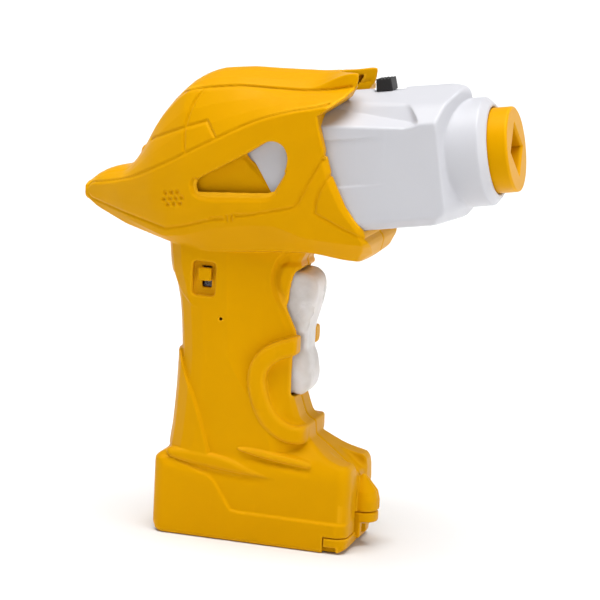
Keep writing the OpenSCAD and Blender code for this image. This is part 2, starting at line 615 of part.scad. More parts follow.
module battery_door() color(yellow) difference() {
  union() {
    box([-31.2, -15, foot_clear], [31.6, 15, 2]);
    intersection() {
      union() {
        box([31.4, -20, foot_clear], [40, 20, 5.4]);
        box([27, -20, 2.3], [40, 20, 5.4]);
      }
      side_prism([[20, 0], [32, 0.3], [34.4, 1.6], [35.2, 4.4], [35.2, 5.4], [20, 5.4]], -20, 20);
      foot_plan(foot_half_w + panel_rise, 6);
    }
    translate([36.2, 0, 8.8]) cylinder(h = 3.6, r = 5, $fn = 48);
    box([33.4, -5, 4], [36.2, 5, 12.4]);
    rod_y(door_hinge[0], door_hinge[1], -14.8, 14.8, 1.4);
  }
  box([0, -14.6, 2.3], [31, 14.6, 20]);
  translate([36.2, 0, 0]) cylinder(h = 20, r = 1.4, $fn = 32);
  translate([36.2, 0, 0]) cylinder(h = 9.6, r = 2.7, $fn = 48);
}

module door_screw() color(steel) difference() {
  union() {
    translate([36.2, 0, 8.2]) cylinder(h = 1.38, r = 2.4, $fn = 48);
    translate([36.2, 0, 9.5]) cylinder(h = 10.4, r = 1.05, $fn = 32);
  }
  for (a = [0, 90]) translate([36.2, 0, 8.2]) rotate([0, 0, a]) cube([2.8, 0.7, 1.6], center = true);
}

// Leads run where the housing leaves room for them
lead_positive_route = [[28.2, -10.2, 16.4], [28.2, -10.2, 18.8], [27.4, -10, 22.5],
  [25, -9.6, 25.6], [20, -9.4, 27.6],
  [10, -9.6, 27.4], [0, -10, 27], [-8, -10, 29.4], [-13, -9.6, 38], [-13, -9, 56],
  [-12.4, -8.6, 70], [-13.2, -8, 78], [-15, -6.4, 80.6]];
lead_negative_route = [[28.2, 10.2, 16.4], [28.2, 10.2, 18.8], [27.4, 10, 22.5], [25, 9.6, 25.6],
  [20, 9.4, 27.6],
  [10, 9.6, 27.4], [0, 10, 27], [-8, 9.4, 29], [-11, 8.6, 36], [-10.4, 7.4, 45], [-7, 6.4, 51]];
lead_motor_route = [[-6.8, 8, 88], [-10.5, 8.6, 93], [-12.8, 8.6, 102], [-15, 9.2, 110],
  [-13.4, 9, 118], [-6, 8, 122.6], [0.6, 7.2, 124]];
module lead_positive() color(red) tube(smooth(lead_positive_route, 3), 0.7);
module lead_negative() color(black) tube(smooth(lead_negative_route, 3), 0.7);
module lead_motor() color(red) tube(smooth(lead_motor_route, 3), 0.7);

housing_right();
housing_left();
nose_right();
nose_left();
housing_screws();
nose_screws();
chuck();
spindle();
output_gear();
spindle_bushing();
gearbox_front();
gearbox_rear();
gearbox_screws();
idler_gear();
second_gear();
first_gear();
gear_pin();
motor_pinion();
motor_shaft();
motor_can();
motor_end_cap();
motor_terminals();
mode_switch_body();
mode_knob();
power_switch_body();
power_knob();
rocker();
rocker_pin();
keypad();
circuit_board();
board_screws();
board_parts();
cell_right();
cell_left();
cell_sleeves();
contact_rear();
contacts_front();
contact_spring_right();
contact_spring_left();
battery_door();
door_screw();
lead_positive();
lead_negative();
lead_motor();
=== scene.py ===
"""Toy power drill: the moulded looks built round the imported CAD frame.

The shells, the knobs and the door are signed distance volumes in millimetres. They are
shaped from feature lines in the CAD frame, carved with their grooves and steps, and then
meshed. Everything else is the CAD's own pieces with their materials.
"""
import json
import math

import bpy
import numpy as np
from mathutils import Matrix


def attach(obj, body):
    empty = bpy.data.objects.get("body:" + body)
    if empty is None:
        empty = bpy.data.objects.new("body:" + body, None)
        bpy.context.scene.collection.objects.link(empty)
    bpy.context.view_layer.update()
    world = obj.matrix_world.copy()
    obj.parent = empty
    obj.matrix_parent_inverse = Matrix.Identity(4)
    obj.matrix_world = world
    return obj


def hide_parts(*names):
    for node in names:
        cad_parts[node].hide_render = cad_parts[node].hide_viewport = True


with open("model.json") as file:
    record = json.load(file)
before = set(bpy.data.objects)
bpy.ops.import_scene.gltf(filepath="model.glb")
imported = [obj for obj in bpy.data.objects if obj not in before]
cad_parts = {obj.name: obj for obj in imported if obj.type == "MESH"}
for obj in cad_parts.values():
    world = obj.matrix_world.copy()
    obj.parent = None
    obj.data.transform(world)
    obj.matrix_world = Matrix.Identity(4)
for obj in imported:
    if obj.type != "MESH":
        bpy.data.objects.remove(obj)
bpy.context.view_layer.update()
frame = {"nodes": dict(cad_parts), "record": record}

import openvdb as vdb
from mathutils import Matrix, Vector

MM = 0.001


# ---------------------------------------------------------------- volumes

class Grid:
    """A regular grid of points in millimetres, with its planes on whole steps."""

    def __init__(self, low, high, step):
        self.step = step
        self.start = np.floor(np.array(low) / step).astype(int)
        self.count = np.ceil(np.array(high) / step).astype(int) - self.start + 1
        axes = [(self.start[k] + np.arange(self.count[k])) * step for k in range(3)]
        self.x = axes[0][:, None, None]
        self.y = axes[1][None, :, None]
        self.z = axes[2][None, None, :]

    def distance_to(self, points, quads, band):
        """Signed distance to a closed mesh, exact within band millimetres."""
        transform = vdb.createLinearTransform(voxelSize=self.step)
        level = vdb.FloatGrid.createLevelSetFromPolygons(
            np.array(points, dtype=np.float32), quads=np.array(quads, dtype=np.uint32),
            transform=transform, halfWidth=band / self.step)
        out = np.empty(tuple(self.count), dtype=np.float32)
        level.copyToArray(out, ijk=tuple(int(i) for i in self.start))
        return out

    def sample(self, field, points):
        """field at points, blended from the eight grid points round each."""
        where = points / self.step - self.start
        low = np.clip(np.floor(where).astype(int), 0, self.count - 2)
        part = np.clip(where - low, 0, 1)
        total = 0
        for corner in np.ndindex(2, 2, 2):
            weight = np.prod(np.abs(1 - np.array(corner) - part), axis=1)
            i, j, k = (low + corner).T
            total = total + weight * field[i, j, k]
        return total

    def slope(self, field, points, reach=0.7):
        """Unit gradient of field at points."""
        out = np.zeros_like(points)
        for axis in range(3):
            shift = np.zeros(3)
            shift[axis] = reach * self.step
            out[:, axis] = self.sample(field, points + shift) - self.sample(field, points - shift)
        return out / np.maximum(np.linalg.norm(out, axis=1, keepdims=True), 1e-9)


def union(a, b, blend=0.0):
    """Union of two distances. blend is the width over which they flow together."""
    if blend <= 0:
        return np.minimum(a, b)
    h = np.clip(0.5 + 0.5 * (b - a) / blend, 0, 1)
    return b * (1 - h) + a * h - blend * h * (1 - h)


def meet(a, b, blend=0.0):
    """Intersection of two distances, with its edge rounded over blend."""
    return -union(-a, -b, blend)


def cut(a, b, blend=0.0):
    """a with b taken away."""
    return meet(a, -b, blend)


def chamfered(a, b, size):
    """Intersection of two distances, with a flat chamfer on its edge."""
    return np.maximum(np.maximum(a, b), (a + b + size) * math.sqrt(0.5))


def ease(value, start, end):
    """0 at start and 1 at end, eased between."""
    t = np.clip((value - start) / (end - start), 0, 1)
    return t * t * (3 - 2 * t)


def plane(normal, point, *where):
    """Signed distance to a plane through point, positive on the side of its normal."""
    n = np.array(normal, dtype=float)
    n = n / np.linalg.norm(n)
    return sum(n[k] * (where[k] - point[k]) for k in range(3))


def block(g, low, high, round_by=0.0):
    """Distance to a box."""
    total = 0
    inner = -1e9
    for value, a, b in zip((g.x, g.y, g.z), low, high):
        out = np.abs(value - (a + b) / 2) - (b - a) / 2 + round_by
        total = total + np.clip(out, 0, None) ** 2
        inner = np.maximum(inner, out)
    return np.sqrt(total) + np.minimum(inner, 0) - round_by


def rod(g, axis, centre, radius, low, high, edge=0.0):
    """Distance to a cylinder along axis 0, 1 or 2. centre is its place on the other two."""
    a, b = [v for k, v in enumerate((g.x, g.y, g.z)) if k != axis]
    length = (g.x, g.y, g.z)[axis]
    side = np.hypot(a - centre[0], b - centre[1]) - radius
    ends = np.abs(length - (low + high) / 2) - (high - low) / 2
    return chamfered(side, ends, edge) if edge else np.maximum(side, ends)


def curve(points, closed=False, steps=6):
    """Points on a smooth curve through given points."""
    p = np.array(points, dtype=float)
    n = len(p)
    out = []
    for i in range(n if closed else n - 1):
        pick = [(i + k) % n if closed else min(max(i + k, 0), n - 1) for k in (-1, 0, 1, 2)]
        a, b, c, d = p[pick]
        for t in np.arange(steps) / steps:
            out.append(0.5 * (2 * b + t * (c - a) + t * t * (2 * a - 5 * b + 4 * c - d)
                              + t ** 3 * (3 * b - a - 3 * c + d)))
    if not closed:
        out.append(p[-1])
    return np.array(out)


def to_line(x, z, points, keep=False):
    """Distance in a plane to a line through points; with keep, signed, positive on its left."""
    best, sign = None, None
    for a, b in zip(points[:-1], points[1:]):
        dx, dz = b[0] - a[0], b[1] - a[1]
        t = np.clip(((x - a[0]) * dx + (z - a[1]) * dz) / max(dx * dx + dz * dz, 1e-9), 0, 1)
        d = np.hypot(x - a[0] - t * dx, z - a[1] - t * dz)
        s = np.where(dx * (z - a[1]) - dz * (x - a[0]) > 0, 1.0, -1.0)
        if best is None:
            best, sign = d, s
        else:
            closer = d < best
            best, sign = np.where(closer, d, best), np.where(closer, s, sign)
    return best * sign if keep else best


def to_outline(x, z, points):
    """Signed distance in a plane to a closed outline, negative inside."""
    closed = [tuple(p) for p in points] + [tuple(points[0])]
    inside = np.zeros(np.broadcast(x, z).shape, dtype=bool)
    for a, b in zip(closed[:-1], closed[1:]):
        if a[1] != b[1]:
            crosses = (a[1] > z) != (b[1] > z)
            inside ^= crosses & (x < (b[0] - a[0]) * (z - a[1]) / (b[1] - a[1]) + a[0])
    return np.where(inside, -1, 1) * to_line(x, z, closed)


def groove(distance, depth, half_width):
    """How far a moulded line sinks below the surface at each distance from it."""
    return depth * np.exp(-(distance / half_width) ** 2)


FEEL = 0.6      # how far in and out of the surface its edges and creases are felt, in mm


def mesh_of(name, grid, field, mirror=False, place=None):
    """Blender object of the surface where field is zero. place maps its points, in mm."""
    limit = 3 * grid.step
    volume = vdb.FloatGrid()
    volume.background = limit
    volume.transform = vdb.createLinearTransform(voxelSize=grid.step)
    volume.copyFromArray(np.clip(field, -limit, limit).astype(np.float32),
                         ijk=tuple(int(i) for i in grid.start))
    points, quads = volume.convertToQuads(isovalue=0.0)
    points = np.array(points, dtype=float)
    quads = np.array(quads, dtype=int)
    # Two steps that draw the points onto the surface
    for _ in range(2):
        points -= 0.8 * grid.slope(field, points) * grid.sample(field, points)[:, None]
    normals = grid.slope(field, points)
    a, b, c = (points[quads[:, k]] for k in (0, 1, 2))
    if (np.cross(b - a, c - a) * normals[quads[:, 0]]).sum() < 0:
        quads = quads[:, ::-1]
    # edge grows on convex edges and crease in hollows; the materials paint highlight along edges
    # and shade in creases from them
    edge = grid.sample(field, points - FEEL * normals) / FEEL + 1
    crease = 1 - grid.sample(field, points + FEEL * normals) / FEEL
    if mirror:
        points[:, 1] *= -1
        normals[:, 1] *= -1
        quads = quads[:, ::-1]
    if place is not None:
        turn = np.array(place.to_3x3())
        points = points @ turn.T + np.array(place.translation)
        normals = normals @ turn.T
    mesh = bpy.data.meshes.new(name)
    mesh.from_pydata((points * MM).tolist(), [], quads.tolist())
    mesh.polygons.foreach_set("use_smooth", np.ones(len(quads), dtype=bool))
    for key, value in (("edge", edge), ("crease", crease)):
        layer = mesh.attributes.new(key, "FLOAT", "POINT")
        layer.data.foreach_set("value", np.clip(value, 0, 1).astype(np.float32))
    mesh.normals_split_custom_set_from_vertices(normals.tolist())
    mesh.update()
    piece = bpy.data.objects.new(name, mesh)
    bpy.context.scene.collection.objects.link(piece)
    return piece


def add_piece(piece, body, slot, *nodes):
    """Give a new piece the material of its slot and its body, and hide the CAD nodes it stands for.
    """
    piece.data.materials.append(FINISHES[slot])
    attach(piece, body)
    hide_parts(*nodes)
    return piece


# ---------------------------------------------------------------- housing outlines
# Feature lines of the head from tail to nose rim: x, half width, z

TOP = [(-67.4, 0, 115.4), (-66, 0, 116.9), (-63.5, 0, 119.2), (-59, 0, 121.6),
       (-55, 0, 122.8), (-51.3, 0, 123.4), (-48.5, 0, 126), (-44.2, 0, 133), (-40.6, 0, 141.2),
       (-37.2, 0, 146), (-33.6, 0, 150), (-28.5, 0, 154.6), (-24, 0, 157.3), (-20, 0, 158.7),
       (-9.4, 0, 159.9), (1, 0, 160), (15, 0, 160.4), (22, 0, 161), (40, 0, 161)]
CREST = [(-67.4, 2, 115.2), (-63.5, 3.5, 118.2), (-59, 5, 120.2), (-51.3, 7, 121.8),
         (-48.5, 8, 124.2), (-44.2, 9, 130.6), (-40.6, 10, 137.6), (-36, 11, 143.5),
         (-28.9, 12, 151), (-20, 12.3, 153), (-11.8, 12.5, 154), (12, 12.5, 154.2),
         (26.1, 12.5, 156.3), (40, 12.5, 157.5)]
BROW = [(-67.4, 3.6, 114.6), (-64.4, 5.7, 116.2), (-51.8, 12, 119.2), (-38.5, 18, 124.6),
        (-26.9, 20.5, 130.8), (-14.3, 22, 137.6), (1, 23, 145.3), (8, 23.4, 147.6),
        (19.4, 23.7, 150.4), (40, 23.7, 152.5)]
FLANK = [(-67.4, 3.8, 113), (-60, 7.4, 113.5), (-51.8, 12.2, 114), (-38.5, 18.1, 115.5),
         (-26.9, 20.8, 118.5), (-14.3, 22.2, 122), (1, 23.2, 127), (19.4, 23.7, 131),
         (40, 23, 131)]
WAIST = [(-67.4, 3.6, 111.7), (-63.8, 5.2, 111.1), (-50, 12, 108.3), (-32.6, 18.5, 105.3),
         (-17.8, 20.8, 108.3), (-3.8, 22.2, 112.5), (12.3, 23, 117.2), (20, 23, 117.5),
         (40, 22.8, 117)]
LEDGE = [(-67.4, 3, 111.1), (-63, 4.7, 109.7), (-50, 11, 106.4), (-34, 17.4, 102.4),
         (-26, 18.9, 103.6), (-15.1, 20.4, 107.2), (-3.6, 21.4, 109.4), (6.3, 22.2, 110.2),
         (16, 22, 107.2), (26, 21.2, 106.5), (40, 19.6, 106)]
LOWER = [(-67.4, 2.2, 110.8), (-63, 4.2, 108.2), (-50, 9.5, 104), (-32.5, 14, 100.2),
         (-18.2, 15.5, 98.6), (6.1, 17, 101), (15, 16.5, 101.6), (20.3, 15, 101),
         (28, 14, 99.8), (34.6, 12.5, 99.4), (40, 11.5, 100.5)]
KEEL = [(-67.4, 0, 110.6), (-63, 0, 107.6), (-50, 0, 103), (-32.5, 0, 98.6), (-18, 0, 97),
        (6, 0, 98.8), (15, 0, 99.3), (28, 0, 98.8), (34.6, 0, 98.2), (40, 0, 99.6)]

# Height, rear edge and front edge of the handle, from the top down
HANDLE = [(103, -33, 16.6), (98.8, -32.9, 14.5), (95.2, -32.5, 12.6), (92.5, -32.2, 11.2),
          (89.8, -31.6, 10.4), (85, -30.2, 9.7), (80.7, -29.2, 9.7), (78, -28.8, 10.5),
          (75.3, -28.5, 11.9), (73, -28.3, 12.9), (70.5, -28.1, 13.3), (67, -27.9, 12.9),
          (64, -27.7, 11.9), (59.6, -27.7, 11.8), (52, -27.9, 11.9), (49.7, -28, 12.1),
          (46.2, -28.2, 13.3), (42.8, -28.4, 14.6), (41.6, -28.5, 17), (40.1, -28.6, 17.7),
          (36.8, -28.9, 18.1), (30, -29.8, 18.6), (24, -30, 18.6)]
HANDLE_W = 15.0

# Outlines in the side view: x and z
RIM = [(34, 176), (30.8, 163), (30.2, 161.2), (29.6, 158.8), (29.2, 157), (28.7, 155.8),
       (27.4, 153.6), (25, 151.6), (19.7, 147.6),
       (20.6, 143.4), (22.9, 135.5), (25, 128.7), (30.1, 118.6), (35.8, 111.4), (38.1, 105.6),
       (38.1, 102.4), (36.6, 99), (33, 92)]
FOOT = [(-31, 0), (-33.6, 0.8), (-35, 3.2), (-34.9, 25.9), (-31, 29), (-24, 30.2), (8, 31),
        (14.5, 36.5), (18.1, 36.8), (24.7, 32.1), (33.7, 25.3), (35.2, 21.6), (35.2, 4.2),
        (34.2, 1), (31.4, 0)]
SHOULDER = [(18, 20), (18, 30.9), (28, 30.5), (33, 29.7), (34.6, 28.2), (35.2, 25.6),
            (35.2, 20)]
FOOT_PANEL = [(-40, -5), (-40, 26.6), (-28.3, 26.4), (-14.9, 22.2), (-12.5, 20.4),
              (-6.2, 10.9), (-3.8, 10.5), (45, 10.4), (45, -5)]
WINDOW_FRONT = [(9, 127.3), (9.9, 130.6), (10.1, 133.3), (9.3, 135.8), (7.5, 137.5), (4.8, 138.1),
                (2.1, 137.3), (-0.6, 135.5)]
WINDOW_REAR = [(-4.1, 133.2), (-18, 125.1), (-21, 123.2), (-21.8, 121.2), (-21, 118.9),
               (3.4, 120.8), (5.9, 121.7)]
WINDOW_BEVEL = [(-22.4, 124), (-23.8, 122.2), (-23.8, 120.4), (-22.9, 118), (-20.6, 116.5),
                (-17.3, 116), (2.1, 117.7), (5.2, 118.7), (7, 120.6), (10.7, 130.4), (9, 127.3),
                (5.9, 121.7), (3.4, 120.8), (-21, 118.9), (-21.8, 121.2), (-21, 123.2)]
OPENING = [(-6.2, 134.2), (6.6, 121.2), (14, 128), (12, 141), (-3, 139)]
GUARD = [(16.5, 70), (11.4, 68.4), (6.3, 66.3), (2.6, 63.2), (0.6, 58.8), (0.9, 53.4),
         (2.8, 47.6), (6.3, 42.3), (11.8, 38.8), (17.6, 38.6)]
CHEEK = [(-15, 24), (-15.2, 30), (-18.4, 40.6), (-21.6, 48.9), (-24.6, 54.8), (-26.2, 58.1),
         (-27.3, 61.3), (-28.6, 62.9), (-36, 63.4), (-40, 24)]
SHOULDER_BLADE = [(-40, 110), (-40, 93), (-31.3, 88.8), (-28, 83.4), (-23.1, 79.2), (-16, 78),
                  (-16, 110)]
SCALLOP = [(26, 106), (14.5, 103.6), (9.3, 101), (6, 98.5), (4.3, 96), (3.3, 93), (3.1, 90.1),
           (3.6, 86.9), (4.8, 83.7), (6.3, 80.5), (8.2, 77.4), (11.2, 74.4)]

RIDGE_LOW = [(-30.2, 28.4), (-29.2, 27), (-27.4, 26.3), (-21.2, 25.3), (-12.4, 24.3), (-3.4, 23.6),
             (9, 23.2), (4, 25), (-2, 26.8), (-8, 28.6), (-15.1, 29.6), (-22, 30), (-27.6, 30),
             (-29.6, 29.6)]
RIDGE_HIGH = [(-5, 32), (-3, 32.9), (2.5, 32.8), (8.4, 32.1), (14, 31.4), (20, 30.4), (21.2, 29.2),
              (20.4, 28), (14.6, 28.5), (7.2, 29.3), (-0.3, 30.6)]

# Moulded lines on the head: x and z
BROW_LINE = [(-66.4, 114.4), (-64.4, 116.2), (-58.4, 117.5), (-51.8, 119.2), (-44.7, 121.7),
             (-35, 126.4), (-25.8, 131.4), (-15.2, 137.2), (-2, 144), (9.1, 147.9),
             (19.4, 150.4), (23, 151.6)]
CREST_LINE = [(-31.6, 149.6), (-28.4, 151.1), (-23.4, 152.3), (-11.4, 153.9), (-2.9, 154.1),
              (5.6, 154), (12.5, 154.2), (20.9, 155.2), (27.5, 156.8)]
HOOD_CURVE = [(-23.2, 152.2), (-25.8, 147), (-26.9, 141.8), (-27.2, 137.3), (-26.3, 131.2)]
HOOD_FLAP = [(-41, 133.6), (-39.3, 134.6), (-27.3, 139.6), (-19.4, 142.4), (-15.4, 137.4)]
WAIST_LEFT = [(-65.6, 111.6), (-64.8, 110.8), (-49.5, 108.2), (-32.8, 105.2), (-25.3, 107),
              (-17.4, 109.6)]
WAIST_RIGHT = [(-3.5, 112.8), (5, 115), (12.6, 117), (14.2, 118.5), (22.9, 135.6)]
CHIN_LINE = [(24.8, 128.7), (21.8, 123.4), (20.4, 119), (20, 115.7), (28.9, 111.6), (37.2, 108)]
TICKS = [[(-17.2, 109.5), (-15.8, 110.9), (-11.4, 111.4), (-11.4, 110.3)],
         [(-10.8, 112.2), (-10, 112.3), (-10, 110.1), (-10.8, 110)],
         [(-9.1, 112.5), (-8.3, 112.6), (-8.3, 110.4), (-9.1, 110.3)],
         [(-8, 112.9), (-7.2, 111.7), (-3.3, 112.4), (-3.3, 113.4)]]
GRILLE_ROWS = [(3, -30.5, 117.6), (4, -29.9, 115.7), (3, -29.5, 113.9)]
GRILLE_PITCH = 2.25

LINE_DEPTH = 0.62
LINE_WIDTH = 0.42
DOT_DEPTH = 0.85
DOT_RADIUS = 0.66

# Places that more than one part shares
NOSE_PITCH = math.radians(9.5)
CHUCK_FACE = (81, 0, 139.6)     # where the nose's axis meets the front of the chuck
HINGE = (-31.2, 2.4)            # x and z of the door's hinge line
DOOR_SCREW = (36.2, 0)          # x and y of the door screw's axis
FOOT_STRAIGHT = 30.2            # half the length of the foot's sides between the round corners
FOOT_CORNER = 5

WALL = 2.0

# Radii of a screw's tower, of the recess for its head, and of its clear and threaded holes
TOWER_R = 2.9
HEAD_R = 2.5
SHANK_R = 1.4
PILOT_R = 1.1
# Housing screws: x, z, where the head seats and how far the tower reaches, both from the middle
SCREWS = [(-47, 115, 5, 12.6), (-30, 139, 8, 15), (-8, 97, 7, 13.9), (-19.5, 58, 7, 13.9),
          (3, 43.5, 7, 11), (20, 23.2, 8, 14.2), (-29.5, 23.2, 8, 14)]


# ---------------------------------------------------------------- housing forms

def along(line, x, blur=1.2):
    """Half width and height of a feature line at each x, eased over blur millimetres."""
    line = np.array(line)
    fine = np.arange(x[0] - 8, x[-1] + 8, 0.25)
    kernel = np.exp(-0.5 * (np.arange(-24, 25) * 0.25 / blur) ** 2)
    kernel = kernel / kernel.sum()
    out = []
    for column in (1, 2):
        value = np.interp(fine, line[:, 0], line[:, column])
        padded = np.pad(value, 24, mode="edge")
        out.append(np.interp(x, fine, np.convolve(padded, kernel, mode="valid")))
    return np.stack(out, axis=1)


def ring_mesh(rings):
    """Points and quads of a closed form from half rings that run from y = 0 round to y = 0."""
    other = rings[:, -2:0:-1].copy()
    other[:, :, 1] *= -1
    full = np.concatenate([rings, other], axis=1)
    count, n = full.shape[:2]
    quads = []
    for i in range(count - 1):
        for j in range(n):
            k = (j + 1) % n
            quads.append((i * n + j, i * n + k, (i + 1) * n + k, (i + 1) * n + j))
    for base in (0, (count - 1) * n):
        for j in range(rings.shape[1] - 1):
            strip = (base + j, base + j + 1, base + (n - j - 1) % n, base + (n - j) % n)
            quads.append(strip if base else strip[::-1])
    return full.reshape(-1, 3), quads


def head_rings():
    """Half sections of the head from its tail to past its rim, through the feature lines."""
    x = np.arange(TOP[0][0], TOP[-1][0] + 0.01, 0.7)
    keel, lower, ledge, waist, flank, brow, crest, top = (
        along(line, x) for line in (KEEL, LOWER, LEDGE, WAIST, FLANK, BROW, CREST, TOP))
    under = np.stack([lower[:, 0] * 0.6, (lower[:, 1] + keel[:, 1]) / 2 - 0.2], axis=1)

    def between(a, b, t, bulge):
        """The point a share t of the way from a to b, pushed out by bulge."""
        d = b - a
        return a + t * d + bulge * np.stack([d[:, 1], -d[:, 0]], axis=1)

    section = [keel, under, lower, ledge, waist, between(waist, flank, 0.5, 0.03), flank,
               between(flank, brow, 0.5, 0.02), brow,
               between(brow, crest, 0.33, 0.05), between(brow, crest, 0.67, 0.05), crest,
               between(crest, top, 0.08, 0.04), between(crest, top, 0.35, 0.07),
               between(crest, top, 0.7, 0.06), top]
    section = np.stack(section, axis=1)
    # Towards the front the crown opens out level, where its prongs lie beside the slider
    flare = ease(x, 14, 29)[:, None]
    section[:, 12:15, 1] += flare * (161.2 - section[:, 12:15, 1])
    return np.stack([np.repeat(x[:, None], section.shape[1], axis=1),
                     -section[:, :, 0], section[:, :, 1]], axis=2)


def handle_rings():
    """Half sections of the handle from the top down."""
    z = np.arange(HANDLE[0][0], HANDLE[-1][0] - 0.1, -0.8)
    rows = np.array(HANDLE)[::-1]
    rear = np.interp(z, rows[:, 0], rows[:, 1])
    front = np.interp(z, rows[:, 0], rows[:, 2])
    kernel = np.array([1, 2, 1]) / 4
    rear, front = (np.convolve(np.pad(v, 1, mode="edge"), kernel, mode="valid")
                   for v in (rear, front))
    crease = np.interp(z, (24, 46, 50, 56, 62, 104), (9, 3, -1.5, -6, -9.6, -12.4))
    w = HANDLE_W
    rings = []
    for r, f, c, h in zip(rear, front, crease, z):
        c = min(c, f - 8)
        half = [(r - 2, 0), (r - 1.6, -5), (r - 0.4, -9), (r + 1.4, -w + 2.9), (r + 5, -w + 0.6),
                (r + 9, -w), (c, -w), ((c + f) / 2 - 1, -w + 2), (f - 4, -w + 3.9),
                (f - 1.4, -w + 5.3), (f, -w + 7.2), (f, 0)]
        rings.append([(px, py, h) for px, py in half])
    return np.array(rings)


def foot_form(g):
    """The foot with its proud lower panel, its front shoulders and the door screw's boss."""
    side = to_outline(g.x, g.z, FOOT)
    shoulder = np.maximum(to_outline(g.x, g.z, SHOULDER), 6.5 - g.y)
    side = union(side, shoulder, 2.4)
    panel = 1 - ease(to_outline(g.x, g.z, FOOT_PANEL), -0.25, 0.25)
    lean = 0.05 * np.clip(g.z - 24, 0, 7) ** 2
    half_w = 16.2 - lean - 0.9 * np.clip(g.z - 31, 0, None) + 0.85 * panel
    plan = np.hypot(np.clip(np.abs(g.x + 0.1) - FOOT_STRAIGHT, 0, None),
                    np.clip(g.y - half_w + FOOT_CORNER, 0, None)) - FOOT_CORNER
    foot = meet(side, plan, 1.6)
    dome = np.clip(g.z - 19.4, 0, 7)
    radius = 5.2 - 0.25 * np.clip(g.z - 16.4, 0, 3) - 0.66 * dome
    boss = np.hypot(g.x - DOOR_SCREW[0] + 0.12 * dome, g.y) - radius
    boss = meet(boss, np.maximum(12.6 - g.z, g.z - 25.4), 0.9)
    return union(foot, boss, 0.8)


def foot_ridges(g):
    """The two overlapping mouldings that run forward along the top of the foot."""
    low = meet(to_outline(g.x, g.z, curve(RIDGE_LOW, closed=True, steps=3)), g.y - 16.7, 1.8)
    high = meet(to_outline(g.x, g.z, curve(RIDGE_HIGH, closed=True, steps=3)),
                g.y - 16.4 + 0.03 * np.clip(g.x - 5, 0, None), 1.8)
    return np.maximum(union(low, high, 0.4), 8 - g.y)


def ridge_coves(x, z):
    """Depth of the hollows that run below the two ridges."""
    low = groove(to_line(x, z, curve(RIDGE_LOW[:7]) - np.array((0, 0.8))), 0.8, 1.5)
    high = groove(to_line(x, z, curve(RIDGE_HIGH[7:]) - np.array((0, 0.8))), 0.6, 1.1)
    return np.maximum(low * ease(-x, -9, 4), high * ease(x, -5, 6))


def guard_form(g):
    """The raised loop beside the rocker: a flat band round its line."""
    ring = to_line(g.x, g.z, curve(GUARD)) - 3.1
    top = g.y - 16.2 + 0.17 * np.clip(g.x - 2, 0, None)
    band = meet(ring, top, 1.9)
    upper = ease(g.z, 46, 52)
    corner = np.hypot(np.clip(g.x - 12.5, 0, None), 0.72 * np.clip(g.y - 9.3, 0, None)) - 5.2
    band = meet(band, corner + upper * (g.x - 13.7 - corner), 1.2)
    return np.maximum(band, 8.7 * upper - g.y)


def head_lines(x, z):
    """Depth of everything moulded into the head, as seen from the side."""
    depth = 0
    for line in (curve(BROW_LINE), curve(CREST_LINE), curve(HOOD_CURVE), HOOD_FLAP, WAIST_LEFT,
                 WAIST_RIGHT, CHIN_LINE):
        depth = np.maximum(depth, groove(to_line(x, z, line), LINE_DEPTH, LINE_WIDTH))
    for shape in TICKS:
        depth = np.maximum(depth, 0.6 * (1 - ease(to_outline(x, z, shape), -0.2, 0.3)))
    for count, row_x, row_z in GRILLE_ROWS:
        for k in range(count):
            shift = (k - (count - 1) / 2) * GRILLE_PITCH
            spot = np.hypot(x - row_x - shift, z - row_z - 0.2 * shift)
            depth = np.maximum(depth, DOT_DEPTH * np.exp(-(spot / DOT_RADIUS) ** 4))
    bevel = to_outline(x, z, WINDOW_BEVEL)
    inner = to_line(x, z, WINDOW_BEVEL[9:])
    slope = np.clip(-bevel, 0, None) / (np.clip(-bevel, 0, None) + inner + 1e-6)
    return np.maximum(depth, 2.3 * np.where(bevel < 0, slope, 0))


def handle_lines(x, z):
    """Steps of the handle's side: positive sinks, negative stands proud."""
    cheek = -1.2 * (1 - ease(to_outline(x, z, CHEEK), -0.25, 0.35))
    blade = 1 - ease(to_outline(x, z, SHOULDER_BLADE), -0.3, 0.3)
    blade = -0.6 * blade * ease(-x, 20, 27)
    scoop = -to_outline(x, z, curve(SCALLOP).tolist() + [(26, 72)])
    hollow = ease(z, 77, 86) * (1 - ease(scoop, 1.0, 3.8)) + 0.9 * ease(z, 94.5, 97)
    return cheek + blade + 1.5 * ease(scoop, -0.2, 0.8) * np.clip(hollow, 0, 1)


def nose_axes(g):
    """Distance along the nose from the chuck's face, and height above its axis."""
    ahead = g.x - CHUCK_FACE[0]
    above = g.z - CHUCK_FACE[2]
    u = ahead * math.cos(NOSE_PITCH) + above * math.sin(NOSE_PITCH)
    v = above * math.cos(NOSE_PITCH) - ahead * math.sin(NOSE_PITCH)
    return u, v


